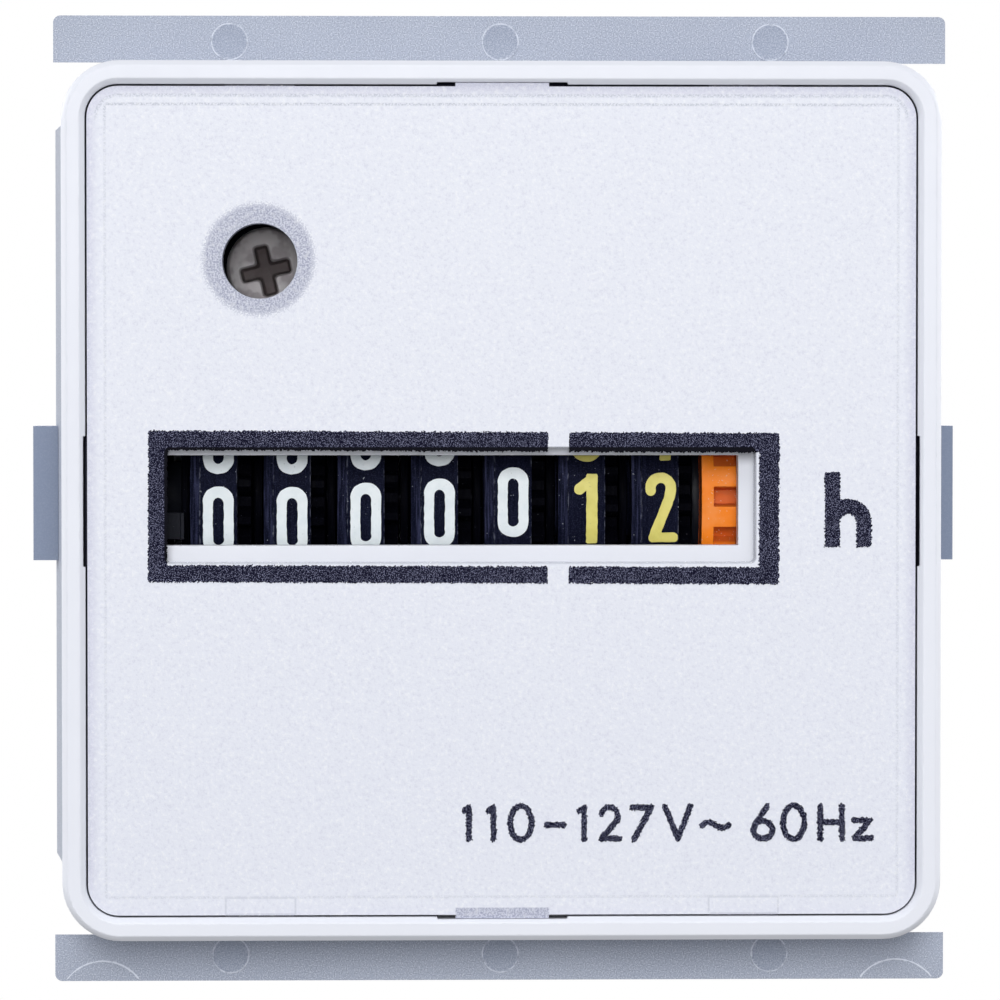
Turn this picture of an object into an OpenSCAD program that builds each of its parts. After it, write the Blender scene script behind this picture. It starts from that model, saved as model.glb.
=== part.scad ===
// Hour meter for panel mounting: a square bezel with a seven-drum counter behind a window,
// a synchronous motor with its reduction train, and a sliding mounting frame.
// Axes: X to the right, Y from the front into the panel, Z up. Sizes in millimetres.
// Origin: centre of the panel cut-out, on the face of the panel that the bezel rests on.

/* [Bezel] */
// Side of the square bezel
bezel_w = 48; // [44:0.5:56]
// Overlap of the bezel over the panel on each side
bezel_lip = 1.6; // [1.4:0.05:2]
// Outer corner radius of the bezel
bezel_r = 3.2; // [2:0.1:4.5]
// Thickness of the bezel, from its front to the panel
bezel_t = 3; // [2.6:0.1:4.5]
// Softened outer edge at the front of the bezel
bezel_edge = 0.3; // [0.1:0.05:0.6]
// Width of the raised rim round the front plate
rim_w = 1.3; // [0.9:0.05:1.6]
// Inner corner radius of the rim
rim_r = 1.8; // [1:0.1:2.5]
// Chamfer on the inner edge of the rim
rim_chamfer = 0.3; // [0.1:0.05:0.5]
// Depth of the dial face behind the front of the rim
recess_d = 1.85; // [1.6:0.05:2.2]
// Thickness of the dial wall
dial_t = 1.3; // [1:0.1:2]

/* [Case box] */
// Corner radius of the box
body_r = 1.5; // [0.5:0.1:3]
// Wall thickness of the box
wall = 1.4; // [1.2:0.1:1.7]
// Width of the ratchet groove on each side
groove_w = 8.4; // [7:0.1:12]
// Depth of the ratchet groove
groove_d = 0.6; // [0.4:0.05:0.8]
// Height of a ratchet tooth in the groove
ratchet_h = 0.4; // [0.2:0.05:0.4]
// Spacing of the ratchet teeth
ratchet_pitch = 1.2; // [0.8:0.1:2]

/* [Front plate] */
// Thickness of the front plate
plate_t = 1.5; // [1.2:0.05:1.5]
// Gap all round between the plate and the rim
plate_gap = 0.1; // [0.05:0.01:0.2]
// Radius of the round hole in front of the screw
plate_hole_r = 2.05; // [1.5:0.05:2.5]
// Width of a snap tongue at the middle of each side
tongue_w = 4.6; // [3:0.1:6]
// Thickness of a snap tongue
tongue_t = 0.8; // [0.6:0.05:1]
// Length of the pry notch in the rim
notch_w = 7.1; // [6.2:0.1:9]
// Depth of the pry notch in the rim
notch_d = 0.12; // [0.08:0.01:0.3]
// Width of the locating tabs on the top and bottom edges
tab_w = 3.8; // [2:0.1:6]

/* [Case screw] */
// Distance of the screw from the left edge of the bezel
screw_in = 10.8; // [10:0.1:12]
// Depth of the screw head behind the front of the bezel
screw_depth = 14.5; // [10:0.1:18]
// Radius of the screw head
screw_head_r = 2.35; // [2:0.05:2.6]
// Height of the screw head
screw_head_h = 1.9; // [1.4:0.1:2.5]
// Radius of the screw thread
screw_r = 1.25; // [0.9:0.05:1.4]
// Length of the screw under the head
screw_len = 12; // [8:0.5:16]
// Width of the arms of the cross recess
cross_w = 0.75; // [0.5:0.05:1]
// Overall length of the cross recess
cross_len = 3; // [2:0.1:3.4]
// Turn of the cross recess in degrees
cross_turn = 14; // [0:1:89]

/* [Counter] */
// Radius of the digit drums
drum_r = 7.3; // [7:0.05:7.8]
// Spacing of the digit drums, as a share of the inside width of the case
drum_share = 0.0969; // [0.093:0.0001:0.099]
// Width of the digit band, as a share of the drum spacing
band_share = 0.504; // [0.47:0.001:0.515]
// Width of the plain ring at the left of the band, as a share of the drum spacing
ring_share = 0.135; // [0.08:0.001:0.14]
// Width of the gear at the right of the band, as a share of the drum spacing
drum_gear_share = 0.184; // [0.15:0.001:0.19]
// Module of the drum gears and transfer pinions
drum_module = 0.62; // [0.58:0.01:0.63]
// Clear distance from the dial wall to the drums
drum_gap = 0.45; // [0.3:0.05:1]
// Radius of the drum shaft
shaft_r = 1; // [0.8:0.05:1.2]
// Radius of the pinion shaft
pinion_shaft_r = 0.6; // [0.5:0.05:0.7]
// Width of the flange of the run wheel, as a share of the drum spacing
run_flange_share = 0.16; // [0.1:0.005:0.19]
// Width of the castellated band of the run wheel, as a share of the drum spacing
run_band_share = 0.307; // [0.25:0.001:0.34]
// Radius of the run wheel over its castellations
run_r = 7.15; // [6.9:0.05:7.3]
// Height of the castellations
run_tooth_h = 1.2; // [0.6:0.05:1.5]

/* [Chassis] */
// Thickness of the chassis cheeks
cheek_t = 1.2; // [1:0.05:1.3]
// Gap from the left cheek to the wall of the case
chassis_side_gap = 1.1; // [0.6:0.05:1.3]
// Wall thickness of the screw tower
tower_wall = 0.95; // [0.8:0.05:1.1]
// Thickness of the bridges between the cheeks
bridge_t = 1.4; // [1:0.05:1.4]

/* [Motor and train] */
// Outer radius of the motor
motor_r = 9.5; // [9.3:0.05:10]
// Length of the motor
motor_len = 13.4; // [12:0.1:14]
// Height of the motor axis above the drum axis
motor_z = 1.6; // [1:0.1:2.2]
// Clear distance from the drums to the motor
motor_gap = 0.9; // [0.5:0.05:1.5]
// Room between the motor and the rear base
motor_rear_gap = 0.9; // [0.5:0.05:2]
// Module of the reduction train
train_module = 0.25; // [0.24:0.005:0.255]
// Radius of the gear arbors
arbor_r = 0.5; // [0.4:0.05:0.55]
// Thickness of the gear plate
gear_plate_t = 0.9; // [0.7:0.05:1]

/* [Mounting frame] */
// Distance from the panel face to the front of the frame at rest
frame_y = 2.2; // [2.1:0.1:6]
// Overhang of a clamping bar beyond the bezel at each end
bar_over = 0.75; // [0:0.05:3]
// Height of the clamping bars
bar_h = 2.6; // [1.5:0.1:4]
// Depth of the clamping bars
bar_d = 3; // [2:0.1:5]
// Wall thickness of the frame
frame_wall = 1.5; // [1.2:0.1:2.2]
// Thickness of the spring arms
arm_t = 1.2; // [1:0.1:1.6]
// Setback of a spring arm from the corner of the box at each end
arm_short = 1; // [0.5:0.1:4]
// Length of the spring arms
arm_len = 17.3; // [14:0.1:22]
// Outward lean of the spring arms over their length
arm_lean = 2; // [1.2:0.1:3]
// Height of the release ears
ear_h = 7.9; // [5:0.1:8]
// Reach of the release ears beyond the arms
ear_reach = 1.2; // [0.8:0.1:3]
// Thickness of the release ears
ear_t = 2; // [1.2:0.1:3]

/* [Rear base] */
// Thickness of the rear base
base_t = 2; // [1.6:0.1:3]
// Length of a terminal blade behind the base
blade_len = 8; // [6:0.1:12]
// Width of a terminal blade
blade_w = 6.3; // [4.8:0.1:6.3]
// Thickness of a terminal blade
blade_t = 0.8; // [0.5:0.05:1]
// Distance of each terminal from the centre line
blade_x = 6; // [4:0.1:9]
// Distance of the terminals from the lower side of the box
blade_in = 8.4; // [7:0.1:8.8]
// Radius of the lead wires
lead_r = 0.45; // [0.3:0.05:0.5]

/* [Clearances] */
// Running clearance on a shaft, on the radius
run_clear = 0.05; // [0.03:0.01:0.08]
// Clearance of a fixed pin or screw in its hole, on the radius
fix_clear = 0.02; // [0.01:0.005:0.04]
// End play of turning pieces
end_play = 0.05; // [0.04:0.01:0.08]
// Sliding clearance between the frame and the box
frame_clear = 0.3; // [0.2:0.05:0.5]
// Clearance between a pawl and the ratchet teeth
pawl_clear = 0.1; // [0.05:0.01:0.15]
// General clearance between neighbouring pieces
gap = 0.2; // [0.1:0.05:0.3]

/* [Hidden] */
$fn = 64;
drum_count = 7;
drum_rest = [10, 10.5, 8, 6, 1, 4, 3.5];
run_rest = 7.6;
drum_teeth = 20;
pinion_teeth = 8;
pressure = 27;
addendum = 0.75;
dedendum = 1;
backlash = 0.12;
run_gear_teeth = 48;
third_small = 12;
third_big = 60;
second_small = 10;
second_big = 50;
first_small = 10;
first_big = 30;
rotor_teeth = 10;
castellations = 20;

front_y = -bezel_t;
dial_y = front_y + recess_d;
dial_back = dial_y + dial_t;
body_w = bezel_w - 2 * bezel_lip;
recess_w = bezel_w - 2 * rim_w;
plate_w = recess_w - 2 * plate_gap;
plate_front = dial_y - plate_t;
stop_w = notch_w - 2;
inner_w = body_w - 2 * wall;
inner_half = inner_w / 2;

axis_y = dial_back + drum_gap + drum_r;
left_x0 = -inner_half + chassis_side_gap;
left_x1 = left_x0 + cheek_t;
drum_pitch = drum_share * inner_w;
band_w = band_share * drum_pitch;
ring_w = ring_share * drum_pitch;
drum_gear_w = drum_gear_share * drum_pitch;
run_flange_w = run_flange_share * drum_pitch;
run_band_w = run_band_share * drum_pitch;
left_boss = 0.221 * drum_pitch;
drum_left = 0.528 * drum_pitch;
first_drum = left_x1 + left_boss + end_play + drum_left;
hub_len = drum_pitch - 2 * end_play;
drum_right = hub_len - drum_left;
gear_x = band_w / 2;
ring_x = -band_w / 2 - ring_w;
drum_gear_tip = drum_module * (drum_teeth / 2 + addendum);
pinion_tip = drum_module * (pinion_teeth / 2 + addendum);
pinion_dist = drum_module * (drum_teeth + pinion_teeth) / 2;
pinion_z = -pinion_dist;
driver_r = pinion_dist - pinion_tip - 0.85;
driver_tip = pinion_dist - pinion_tip - 0.15;
driver_w = 0.1 * drum_pitch;
pinion_x0 = gear_x + 0.07;
pinion_x1 = drum_pitch - drum_left + driver_w - 0.13;
pinion_hub = 1.1;
hub_r = 2.2;
boss_r = 2;
driver_tooth_w = 0.6;
rim_t = 1;
web_t = 0.6;
ring_step = 0.2;

run_x0 = first_drum + drum_count * drum_pitch - drum_left;
run_x1 = run_x0 + driver_w;
run_x2 = run_x1 + run_flange_w;
run_x3 = run_x2 + run_band_w;
run_x4 = run_x3 + 0.037 * drum_pitch;
run_x5 = run_x4 + 0.295 * drum_pitch;
right_boss = 0.086 * drum_pitch;
right_x0 = run_x5 + end_play + right_boss;
right_x1 = right_x0 + cheek_t;
window_x0 = left_x1 + 0.1;
window_x1 = run_x3 - 0.05;
window_top = 2.5;
window_bottom = 2.45;

gear_plate_x1 = inner_half - 0.6;
gear_plate_x0 = gear_plate_x1 - gear_plate_t;
layer = (gear_plate_x0 - right_x1) / 3;
layer_gap = 0.2;
wheel_w = layer - 0.35;
train_dist_run = train_module * (run_gear_teeth + third_small) / 2;
train_dist_third = train_module * (third_big + second_small) / 2;
train_dist_second = train_module * (second_big + first_small) / 2;
train_dist_first = train_module * (first_big + rotor_teeth) / 2;
motor_y = axis_y + drum_r + motor_gap + motor_r;
run_dir = -40;
first_dir = -75;
third_pos = [axis_y + train_dist_run * cos(run_dir), train_dist_run * sin(run_dir)];
rotor_pos = [motor_y, motor_z];
first_pos = rotor_pos + train_dist_first * [cos(first_dir), sin(first_dir)];
second_pos = meet(third_pos, train_dist_third, first_pos, train_dist_second);
third_small_phase = mesh_phase(bearing(third_pos - [axis_y, 0]), run_gear_teeth, 0, third_small);
second_small_phase = mesh_phase(bearing(second_pos - third_pos), third_big, 0, second_small);
first_small_phase = mesh_phase(bearing(first_pos - second_pos), second_big, 0, first_small);
rotor_phase = mesh_phase(bearing(rotor_pos - first_pos), first_big, 0, rotor_teeth);

body_d = motor_y + motor_r + motor_rear_gap;
post_r = 1.5;
post_screw_r = 0.6;
cheek_top = motor_z + motor_r + 1;
cheek_bottom = -drum_r - 2 * pinion_tip - bridge_t - 2.2;
cheek_back = motor_y + motor_r - 1;
post_back = 6;
post_reach = 8.6;
post_dir = -35;
post_low = 2;
post_pos = [[axis_y + post_back, drum_r - post_screw_r],
            second_pos + post_reach * [cos(post_dir), sin(post_dir)],
            [third_pos[0] - post_r, cheek_bottom + post_low]];
motor_x1 = right_x0;
motor_x0 = motor_x1 - motor_len;
cup_wall = 0.7;
claw_r0 = 0.495 * motor_r;
claw_r1 = 0.558 * motor_r;
bobbin_r = claw_r1 + 0.1;
rotor_r = claw_r0 - 0.4;
end_plate_t = 0.7;
end_plate_r = 0.684 * motor_r;
small_head_r = 1.1;
small_slot_w = 0.3;
plate_head_h = 0.4;
motor_head_h = 0.6;
gear_hub_r = 0.95;
sleeve_r = 1.7;
rotor_side = 1.6;
block_w = 6;
block_len = 2;
block_drop = 0.9;
block_rise = 1.5;
block_clear = 0.2;
lead_step = 1.6;
lead_end = 3;
bobbin_wall = 0.053 * motor_r;
coil_room = 0.126 * motor_r;
bobbin_flange = 0.6;
bobbin_room = 0.8;
motor_screw_dirs = [20, 130];
motor_screw_rad = 0.747 * motor_r;

screw_y = front_y + screw_depth;
seat_y = screw_y + screw_head_h;
tower_bore = screw_head_r + 0.35;
tower_r = tower_bore + tower_wall;
tower_end = seat_y + 1.6;
bridge_clear = 0.9;
bridge_top_z = drum_r + bridge_clear;
tower_sink = 0.15;
screw_x = bezel_w / 2 - screw_in;
screw_z = bridge_top_z + bridge_t + tower_r - tower_sink;
bridge_bottom_z = pinion_z - pinion_tip - bridge_clear;

blade_z = body_w / 2 - blade_in;
lip_len = 3;
hook_w = 5.4;
hook_len = 6;
ratchet_start = 6;
ratchet_end = 3;

frame_open = body_w + 2 * frame_clear;
frame_half_x = frame_open / 2 + arm_t;
frame_half_z = frame_open / 2 + frame_wall;
bar_len = bezel_w + 2 * bar_over;
arm_h = body_w - 2 * arm_short;
bar_r = 0.4;
bar_draft = 0.6;
ring_d = 1.8;
ring_r = 2.4;
arm_back = frame_y + arm_len;
pawl_tip = body_w / 2 - groove_d + ratchet_h + pawl_clear;
lip_half = inner_half - 0.15;

// Involute of an angle, in degrees
function inv(a) = tan(a) * 180 / PI - a;
// Direction of a vector in the Y-Z plane, in degrees
function bearing(v) = atan2(v[1], v[0]);
// Point at distance ra from a and rb from b, on the lower side
function meet(a, ra, b, rb) =
    let (d = norm(b - a), t = (ra * ra - rb * rb + d * d) / (2 * d), h = sqrt(ra * ra - t * t), u = (b - a) / d)
    a + t * u + h * [u[1], -u[0]];
// Turn of gear b that meshes with gear a, which is turned by phase_a
function mesh_phase(dir, teeth_a, phase_a, teeth_b) =
    dir + 180 + 180 / teeth_b + (dir - phase_a) * teeth_a / teeth_b;
// Half the angle of a tooth at radius r
function tooth_half(teeth, m, r) =
    let (rb = m * teeth / 2 * cos(pressure))
    (PI / 2 - backlash) / teeth * 180 / PI + inv(pressure) - (r > rb ? inv(acos(rb / r)) : 0);
// Radii along the flank of a tooth
function flank(teeth, m) =
    let (root = m * (teeth / 2 - dedendum), tip = m * (teeth / 2 + addendum), rb = m * teeth / 2 * cos(pressure))
    let (low = max(root, rb))
    [root, low + 0.02 * m, (low + tip) / 2, (low + 3 * tip) / 4, tip];
// Outline of a gear
function gear_points(teeth, m) =
    let (rad = flank(teeth, m))
    [for (i = [0:teeth - 1]) each concat(
        [for (r = rad) r * [cos(i * 360 / teeth - tooth_half(teeth, m, r)), sin(i * 360 / teeth - tooth_half(teeth, m, r))]],
        [for (k = [4:-1:0]) rad[k] * [cos(i * 360 / teeth + tooth_half(teeth, m, rad[k])),
                                      sin(i * 360 / teeth + tooth_half(teeth, m, rad[k]))]])];

// Rounded rectangle about the centre
module rrect(w, h, r) {
    square([w - 2 * r, h], center = true);
    square([w, h - 2 * r], center = true);
    for (sx = [-1, 1], sz = [-1, 1])
        translate([sx * (w / 2 - r), sz * (h / 2 - r)])
            circle(r);
}

// Shape drawn in X and Z, from y0 towards the rear
module along_y(y0, len) {
    translate([0, y0 + len, 0])
        rotate([90, 0, 0])
            linear_extrude(len)
                children();
}

// Shape drawn in Y and Z, from x0 to the right
module along_x(x0, len) {
    translate([x0, 0, 0])
        rotate([90, 0, 90])
            linear_extrude(len)
                children();
}

// Rod along X at a point of the Y-Z plane
module rod_x(x0, x1, pos, r) {
    along_x(x0, x1 - x0)
        translate(pos)
            circle(r);
}

// Rounded square whose side grows by 2 * grow from y0 to y1
module flared(w, r, grow, y0, y1) {
    s = w / 2 - r;
    h = w / 2;
    for (q = [0:90:270])
        rotate([0, q, 0])
            translate([-s, 0, 0])
                rotate([90, 0, 90])
                    linear_extrude(2 * s)
                        polygon([[y0, 0], [y0, h], [y1, h + grow], [y1, 0]]);
    for (sx = [-1, 1], sz = [-1, 1])
        translate([sx * s, y0, sz * s])
            rotate([-90, 0, 0])
                cylinder(h = y1 - y0, r1 = r, r2 = r + grow);
}

// Groove with a row of ratchet teeth, cut into the right side from y0 to y1
module groove_cut(y0, y1) {
    half = body_w / 2;
    floor_x = half - groove_d;
    first = frame_y + ratchet_start;
    count = floor((body_d - ratchet_end - first) / ratchet_pitch);
    difference() {
        translate([floor_x, y0, -groove_w / 2])
            cube([groove_d + 1, y1 - y0, groove_w]);
        for (i = [0:count - 1])
            translate([0, first + i * ratchet_pitch, -groove_w / 2])
                linear_extrude(groove_w)
                    polygon([[floor_x - 0.1, 0], [floor_x, 0], [floor_x + ratchet_h, 0],
                             [floor_x, ratchet_pitch * 0.9], [floor_x - 0.1, ratchet_pitch * 0.9]]);
    }
}

// White bezel, dial wall and box in one piece
module case() {
    slot_in = inner_half - 2;
    color([0.92, 0.93, 0.96])
        difference() {
            union() {
                flared(bezel_w - 2 * bezel_edge, bezel_r - bezel_edge, bezel_edge, front_y, front_y + bezel_edge);
                along_y(front_y + bezel_edge, bezel_t - bezel_edge)
                    rrect(bezel_w, bezel_w, bezel_r);
                along_y(-0.5, body_d + 0.5)
                    rrect(body_w, body_w, body_r);
            }
            along_y(front_y - 1, recess_d + 1)
                rrect(recess_w, recess_w, rim_r);
            flared(recess_w + 2 * rim_chamfer + 0.2, rim_r + rim_chamfer + 0.1, -rim_chamfer - 0.1,
                   front_y - 0.1, front_y + rim_chamfer);
            for (q = [0, 90])
                rotate([0, q, 0])
                    along_y(front_y - 1, recess_d + 1)
                        square([notch_w, recess_w + 2 * notch_d], center = true);
            along_y(dial_back, body_d)
                rrect(inner_w, inner_w, 0.6);
            along_y(dial_y - 1, dial_t + 2)
                translate([window_x0, -window_bottom])
                    square([window_x1 - window_x0, window_top + window_bottom]);
            along_y(dial_y - 1, dial_t + 2)
                translate([-screw_x, screw_z])
                    circle(plate_hole_r + 0.35);
            for (q = [0:90:270])
                rotate([0, q, 0])
                    along_y(dial_y - 1, dial_t + 2)
                        translate([-tongue_w / 2 - gap, slot_in])
                            square([tongue_w + 2 * gap, tongue_t + 2 * gap]);
            for (s = [0, 1])
                mirror([s, 0, 0])
                    groove_cut(4, body_d + 1);
            for (s = [0, 1])
                mirror([0, 0, s])
                    translate([-hook_w / 2 - gap, body_d - hook_len + 0.4, inner_half - 0.5])
                        cube([hook_w + 2 * gap, 2.6, wall + 1]);
        }
}

// Clear plate with snap tongues, locating tabs and stops that fill the top and bottom notches
module front_plate() {
    slot_in = inner_half - 2;
    color([0.86, 0.89, 0.94, 0.6])
        difference() {
            union() {
                along_y(plate_front, plate_t)
                    rrect(plate_w, plate_w, rim_r - plate_gap);
                for (sx = [-1, 1], s = [0, 1])
                    mirror([0, 0, s])
                        translate([sx * screw_x - tab_w / 2, plate_front + 0.2, plate_w / 2 - 0.5])
                            cube([tab_w, plate_t - 0.2, 0.5 + plate_gap - fix_clear]);
                for (s = [0, 1])
                    mirror([0, 0, s])
                        translate([-stop_w / 2, plate_front, plate_w / 2 - 0.5])
                            cube([stop_w, plate_t, 0.5 + plate_gap + notch_d - fix_clear]);
                for (q = [0:90:270])
                    rotate([0, q, 0])
                        translate([-tongue_w / 2, 0, 0])
                            rotate([90, 0, 90])
                                linear_extrude(tongue_w)
                                    polygon([[dial_y - 0.5, slot_in + gap], [dial_y - 0.5, slot_in + gap + tongue_t],
                                             [dial_back + 0.1, slot_in + gap + tongue_t],
                                             [dial_back + 0.1, slot_in + gap + tongue_t + 0.5],
                                             [dial_back + 0.7, slot_in + gap + tongue_t - 0.1],
                                             [dial_back + 0.7, slot_in + gap]]);
            }
            along_y(plate_front - 1, plate_t + 2)
                translate([-screw_x, screw_z])
                    circle(plate_hole_r);
        }
}

// Clamping frame with bars, spring arms, pawls and ears
module mounting_frame() {
    color([0.55, 0.58, 0.66])
        difference() {
            union() {
                along_y(frame_y, ring_d)
                    rrect(2 * frame_half_x, 2 * frame_half_z, ring_r);
                for (s = [0, 1])
                    mirror([0, 0, s])
                        clamp_bar();
                for (s = [-1, 1])
                    along_y(frame_y, arm_len * 0.6)
                        translate([0, s * (frame_half_z - frame_wall / 2)])
                            square([arm_h, frame_wall], center = true);
                for (s = [0, 1])
                    mirror([s, 0, 0])
                        spring_arm();
            }
            along_y(frame_y - 1, arm_len * 0.6 + 2)
                rrect(frame_open, frame_open, ring_r / 2);
        }
}

// Top bar, its ends drafted underneath where they stand past the ring
module clamp_bar() {
    difference() {
        along_y(frame_y, bar_d)
            translate([0, frame_half_z + bar_h / 2 - 0.25])
                rrect(bar_len, bar_h + 0.5, bar_r);
        for (s = [0, 1])
            mirror([s, 0, 0])
                translate([frame_half_x - ring_r, 0, 0])
                    rotate([90, 0, 90])
                        linear_extrude(bar_len)
                            polygon([[frame_y - 1, frame_half_z], [frame_y, frame_half_z],
                                     [frame_y + bar_d + 1, frame_half_z + bar_draft],
                                     [frame_y + bar_d + 1, frame_half_z - 3], [frame_y - 1, frame_half_z - 3]]);
    }
}

// Arm on the right side, leaning outwards, with its pawl and ear
module spring_arm() {
    x0 = frame_half_x - arm_t;
    x1 = frame_half_x;
    translate([0, 0, -arm_h / 2])
        linear_extrude(arm_h)
            polygon([[x0, frame_y], [x1, frame_y], [x1, frame_y + ring_d], [x1 + arm_lean, arm_back],
                     [x0 + arm_lean, arm_back], [x0, frame_y + ring_d]]);
    translate([0, 0, -groove_w / 2 + 0.4])
        linear_extrude(groove_w - 0.8)
            polygon([[x0 + arm_lean + 0.4, arm_back - 3], [pawl_tip, arm_back - 1.2], [pawl_tip, arm_back - 0.4],
                     [x0 + arm_lean + 0.4, arm_back]]);
    translate([x1 + arm_lean - 0.6, arm_back - ear_t, -ear_h / 2])
        cube([ear_reach + 0.6, ear_t, ear_h]);
}

// Rear base with the screw post, the locating lip and two snap hooks
module rear_base() {
    color([0.88, 0.89, 0.91])
        difference() {
            union() {
                along_y(body_d, base_t)
                    rrect(body_w, body_w, body_r);
                along_y(body_d - lip_len, lip_len)
                    rrect(2 * lip_half, 2 * lip_half, 0.5);
                along_y(tower_end, body_d - tower_end)
                    translate([-screw_x, screw_z])
                        circle(tower_r - 0.4);
                for (s = [0, 1])
                    mirror([0, 0, s])
                        translate([-hook_w / 2, 0, 0])
                            rotate([90, 0, 90])
                                linear_extrude(hook_w)
                                    polygon([[body_d, lip_half - 1.2], [body_d - hook_len, lip_half - 1.2],
                                             [body_d - hook_len, lip_half - 0.6], [body_d - hook_len + 1.2, lip_half + 0.5],
                                             [body_d - 3.2, lip_half + 0.5], [body_d - 3.2, lip_half],
                                             [body_d, lip_half]]);
            }
            difference() {
                along_y(body_d - 4, 4)
                    square(2 * lip_half - 2.4, center = true);
                along_y(body_d - 5, 6)
                    translate([-screw_x, screw_z])
                        circle(tower_r - 0.4);
            }
            along_y(tower_end - 1, screw_len + 3)
                translate([-screw_x, screw_z])
                    circle(screw_r + fix_clear);
            for (s = [-1, 1])
                along_y(body_d - 1, base_t + 2)
                    translate([s * blade_x, -blade_z])
                        square([blade_t + 2 * fix_clear, blade_w + 2 * fix_clear], center = true);
            for (s = [0, 1])
                mirror([s, 0, 0])
                    translate([body_w / 2 - groove_d, body_d, -groove_w / 2])
                        cube([groove_d + 1, base_t + 1, groove_w]);
        }
}

// Cross-recess screw that clamps the chassis to the rear base
module case_screw() {
    color([0.52, 0.49, 0.47])
        translate([-screw_x, 0, screw_z])
            difference() {
                union() {
                    along_y(screw_y + 0.5, screw_head_h - 0.5)
                        circle(screw_head_r);
                    translate([0, screw_y + 0.5, 0])
                        rotate([90, 0, 0])
                            cylinder(h = 0.5, r1 = screw_head_r, r2 = screw_head_r - 0.45);
                    along_y(screw_y + 0.6, screw_head_h + screw_len - 0.6)
                        circle(screw_r);
                }
                along_y(screw_y - 1, 2.1)
                    rotate(cross_turn) {
                        square([cross_len, cross_w], center = true);
                        square([cross_w, cross_len], center = true);
                    }
            }
}

// Blade terminal through the rear base
module terminal_tab(s) {
    color([0.78, 0.66, 0.38])
        translate([s * blade_x - blade_t / 2, 0, -blade_z])
            rotate([90, 0, 90])
                linear_extrude(blade_t)
                    difference() {
                        union() {
                            translate([body_d - 4.5, -blade_w / 2])
                                square([4.5 + base_t + blade_len - 1.2, blade_w]);
                            translate([body_d + base_t + blade_len - 1.2, 0])
                                polygon([[-0.1, -blade_w / 2], [0, -blade_w / 2], [1.2, -blade_w / 2 + 0.9],
                                         [1.2, blade_w / 2 - 0.9], [0, blade_w / 2], [-0.1, blade_w / 2]]);
                        }
                        translate([body_d + base_t + blade_len - 3.6, 0])
                            circle(0.85);
                    }
}

// Black moulding that carries the counter, the train and the motor
module counter_chassis() {
    color([0.07, 0.08, 0.1])
        difference() {
            union() {
                along_x(left_x0, cheek_t)
                    translate([dial_back, bridge_bottom_z - bridge_t])
                        square([2 * drum_r - 0.6, bridge_top_z + 2 * bridge_t - bridge_bottom_z]);
                along_x(right_x0, cheek_t)
                    translate([dial_back, cheek_bottom])
                        square([cheek_back - dial_back, cheek_top - cheek_bottom]);
                translate([left_x0, axis_y - 4, bridge_top_z])
                    cube([right_x1 - left_x0, tower_end - axis_y + 4, bridge_t]);
                translate([left_x0, axis_y - 6, bridge_bottom_z - bridge_t])
                    cube([right_x1 - left_x0, 12, bridge_t]);
                along_y(dial_back, tower_end - dial_back)
                    translate([-screw_x, screw_z])
                        circle(tower_r);
                translate([-screw_x - 1.5, axis_y - 4, bridge_top_z])
                    cube([3, tower_end - axis_y + 4, screw_z - tower_bore - 0.4 - bridge_top_z]);
                rod_x(left_x1 - 0.1, left_x1 + left_boss, [axis_y, 0], boss_r);
                rod_x(right_x0 - right_boss, right_x0 + 0.1, [axis_y, 0], boss_r);
                rod_x(left_x1 - 0.1, first_drum + pinion_x1 - drum_pitch + end_play, [axis_y, pinion_z], pinion_hub);
                rod_x(first_drum + (drum_count - 1) * drum_pitch + pinion_x1 + end_play, right_x0 + 0.1, [axis_y, pinion_z], pinion_hub);
                for (p = post_pos)
                    rod_x(right_x1 - 0.1, gear_plate_x0, p, post_r);
                translate([left_x1 - 0.1, dial_back + 0.85, -2.2])
                    cube([1.3, 1, 1.5]);
            }
            translate([left_x0 - 1, dial_back - 1, -tongue_w / 2 - gap])
                cube([cheek_t + 2, 2 + gap, tongue_w + 2 * gap]);
            along_y(dial_back - 1, seat_y - dial_back + 1)
                translate([-screw_x, screw_z])
                    circle(tower_bore);
            along_y(seat_y - 1, 4)
                translate([-screw_x, screw_z])
                    circle(screw_r + 0.1);
            rod_x(left_x0 - 1, right_x1 + 1, [axis_y, 0], shaft_r + fix_clear);
            rod_x(left_x0 - 1, right_x1 + 1, [axis_y, pinion_z], pinion_shaft_r + fix_clear);
            rod_x(right_x0 - 1, right_x1 + 1, third_pos, train_module * (third_small / 2 + addendum) + gap);
            rod_x(right_x0 - 1, right_x1 + 1, rotor_pos, train_module * (rotor_teeth / 2 + addendum) + gap);
            for (p = [first_pos, second_pos])
                rod_x(right_x0 - 1, right_x1 + 1, p, arbor_r + fix_clear);
            for (p = post_pos)
                rod_x(right_x1 + 0.3, gear_plate_x0 + 1, p, post_screw_r + fix_clear);
            for (a = motor_screw_dirs)
                rod_x(right_x0 - 1, right_x1 + 1, rotor_pos + motor_screw_rad * [cos(a), sin(a)], post_screw_r + fix_clear);
        }
}

// Steel shaft of the drums
module drum_shaft() {
    color([0.7, 0.71, 0.73])
        rod_x(left_x0, right_x1, [axis_y, 0], shaft_r);
}

// Steel shaft of the transfer pinions
module pinion_shaft() {
    color([0.7, 0.71, 0.73])
        rod_x(left_x0, right_x1, [axis_y, pinion_z], pinion_shaft_r);
}

// Two driving teeth and the disc that carries them, with the hub, from x0
module driver(x0, len, rest) {
    along_x(x0, driver_w)
        translate([axis_y, 0])
            rotate(rest) {
                circle(driver_r);
                for (a = [-9, 9])
                    rotate(a)
                        translate([driver_r / 2, -driver_tooth_w / 2])
                            square([driver_tip - driver_r / 2, driver_tooth_w]);
            }
    rod_x(x0, x0 + len, [axis_y, 0], hub_r);
}

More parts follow.
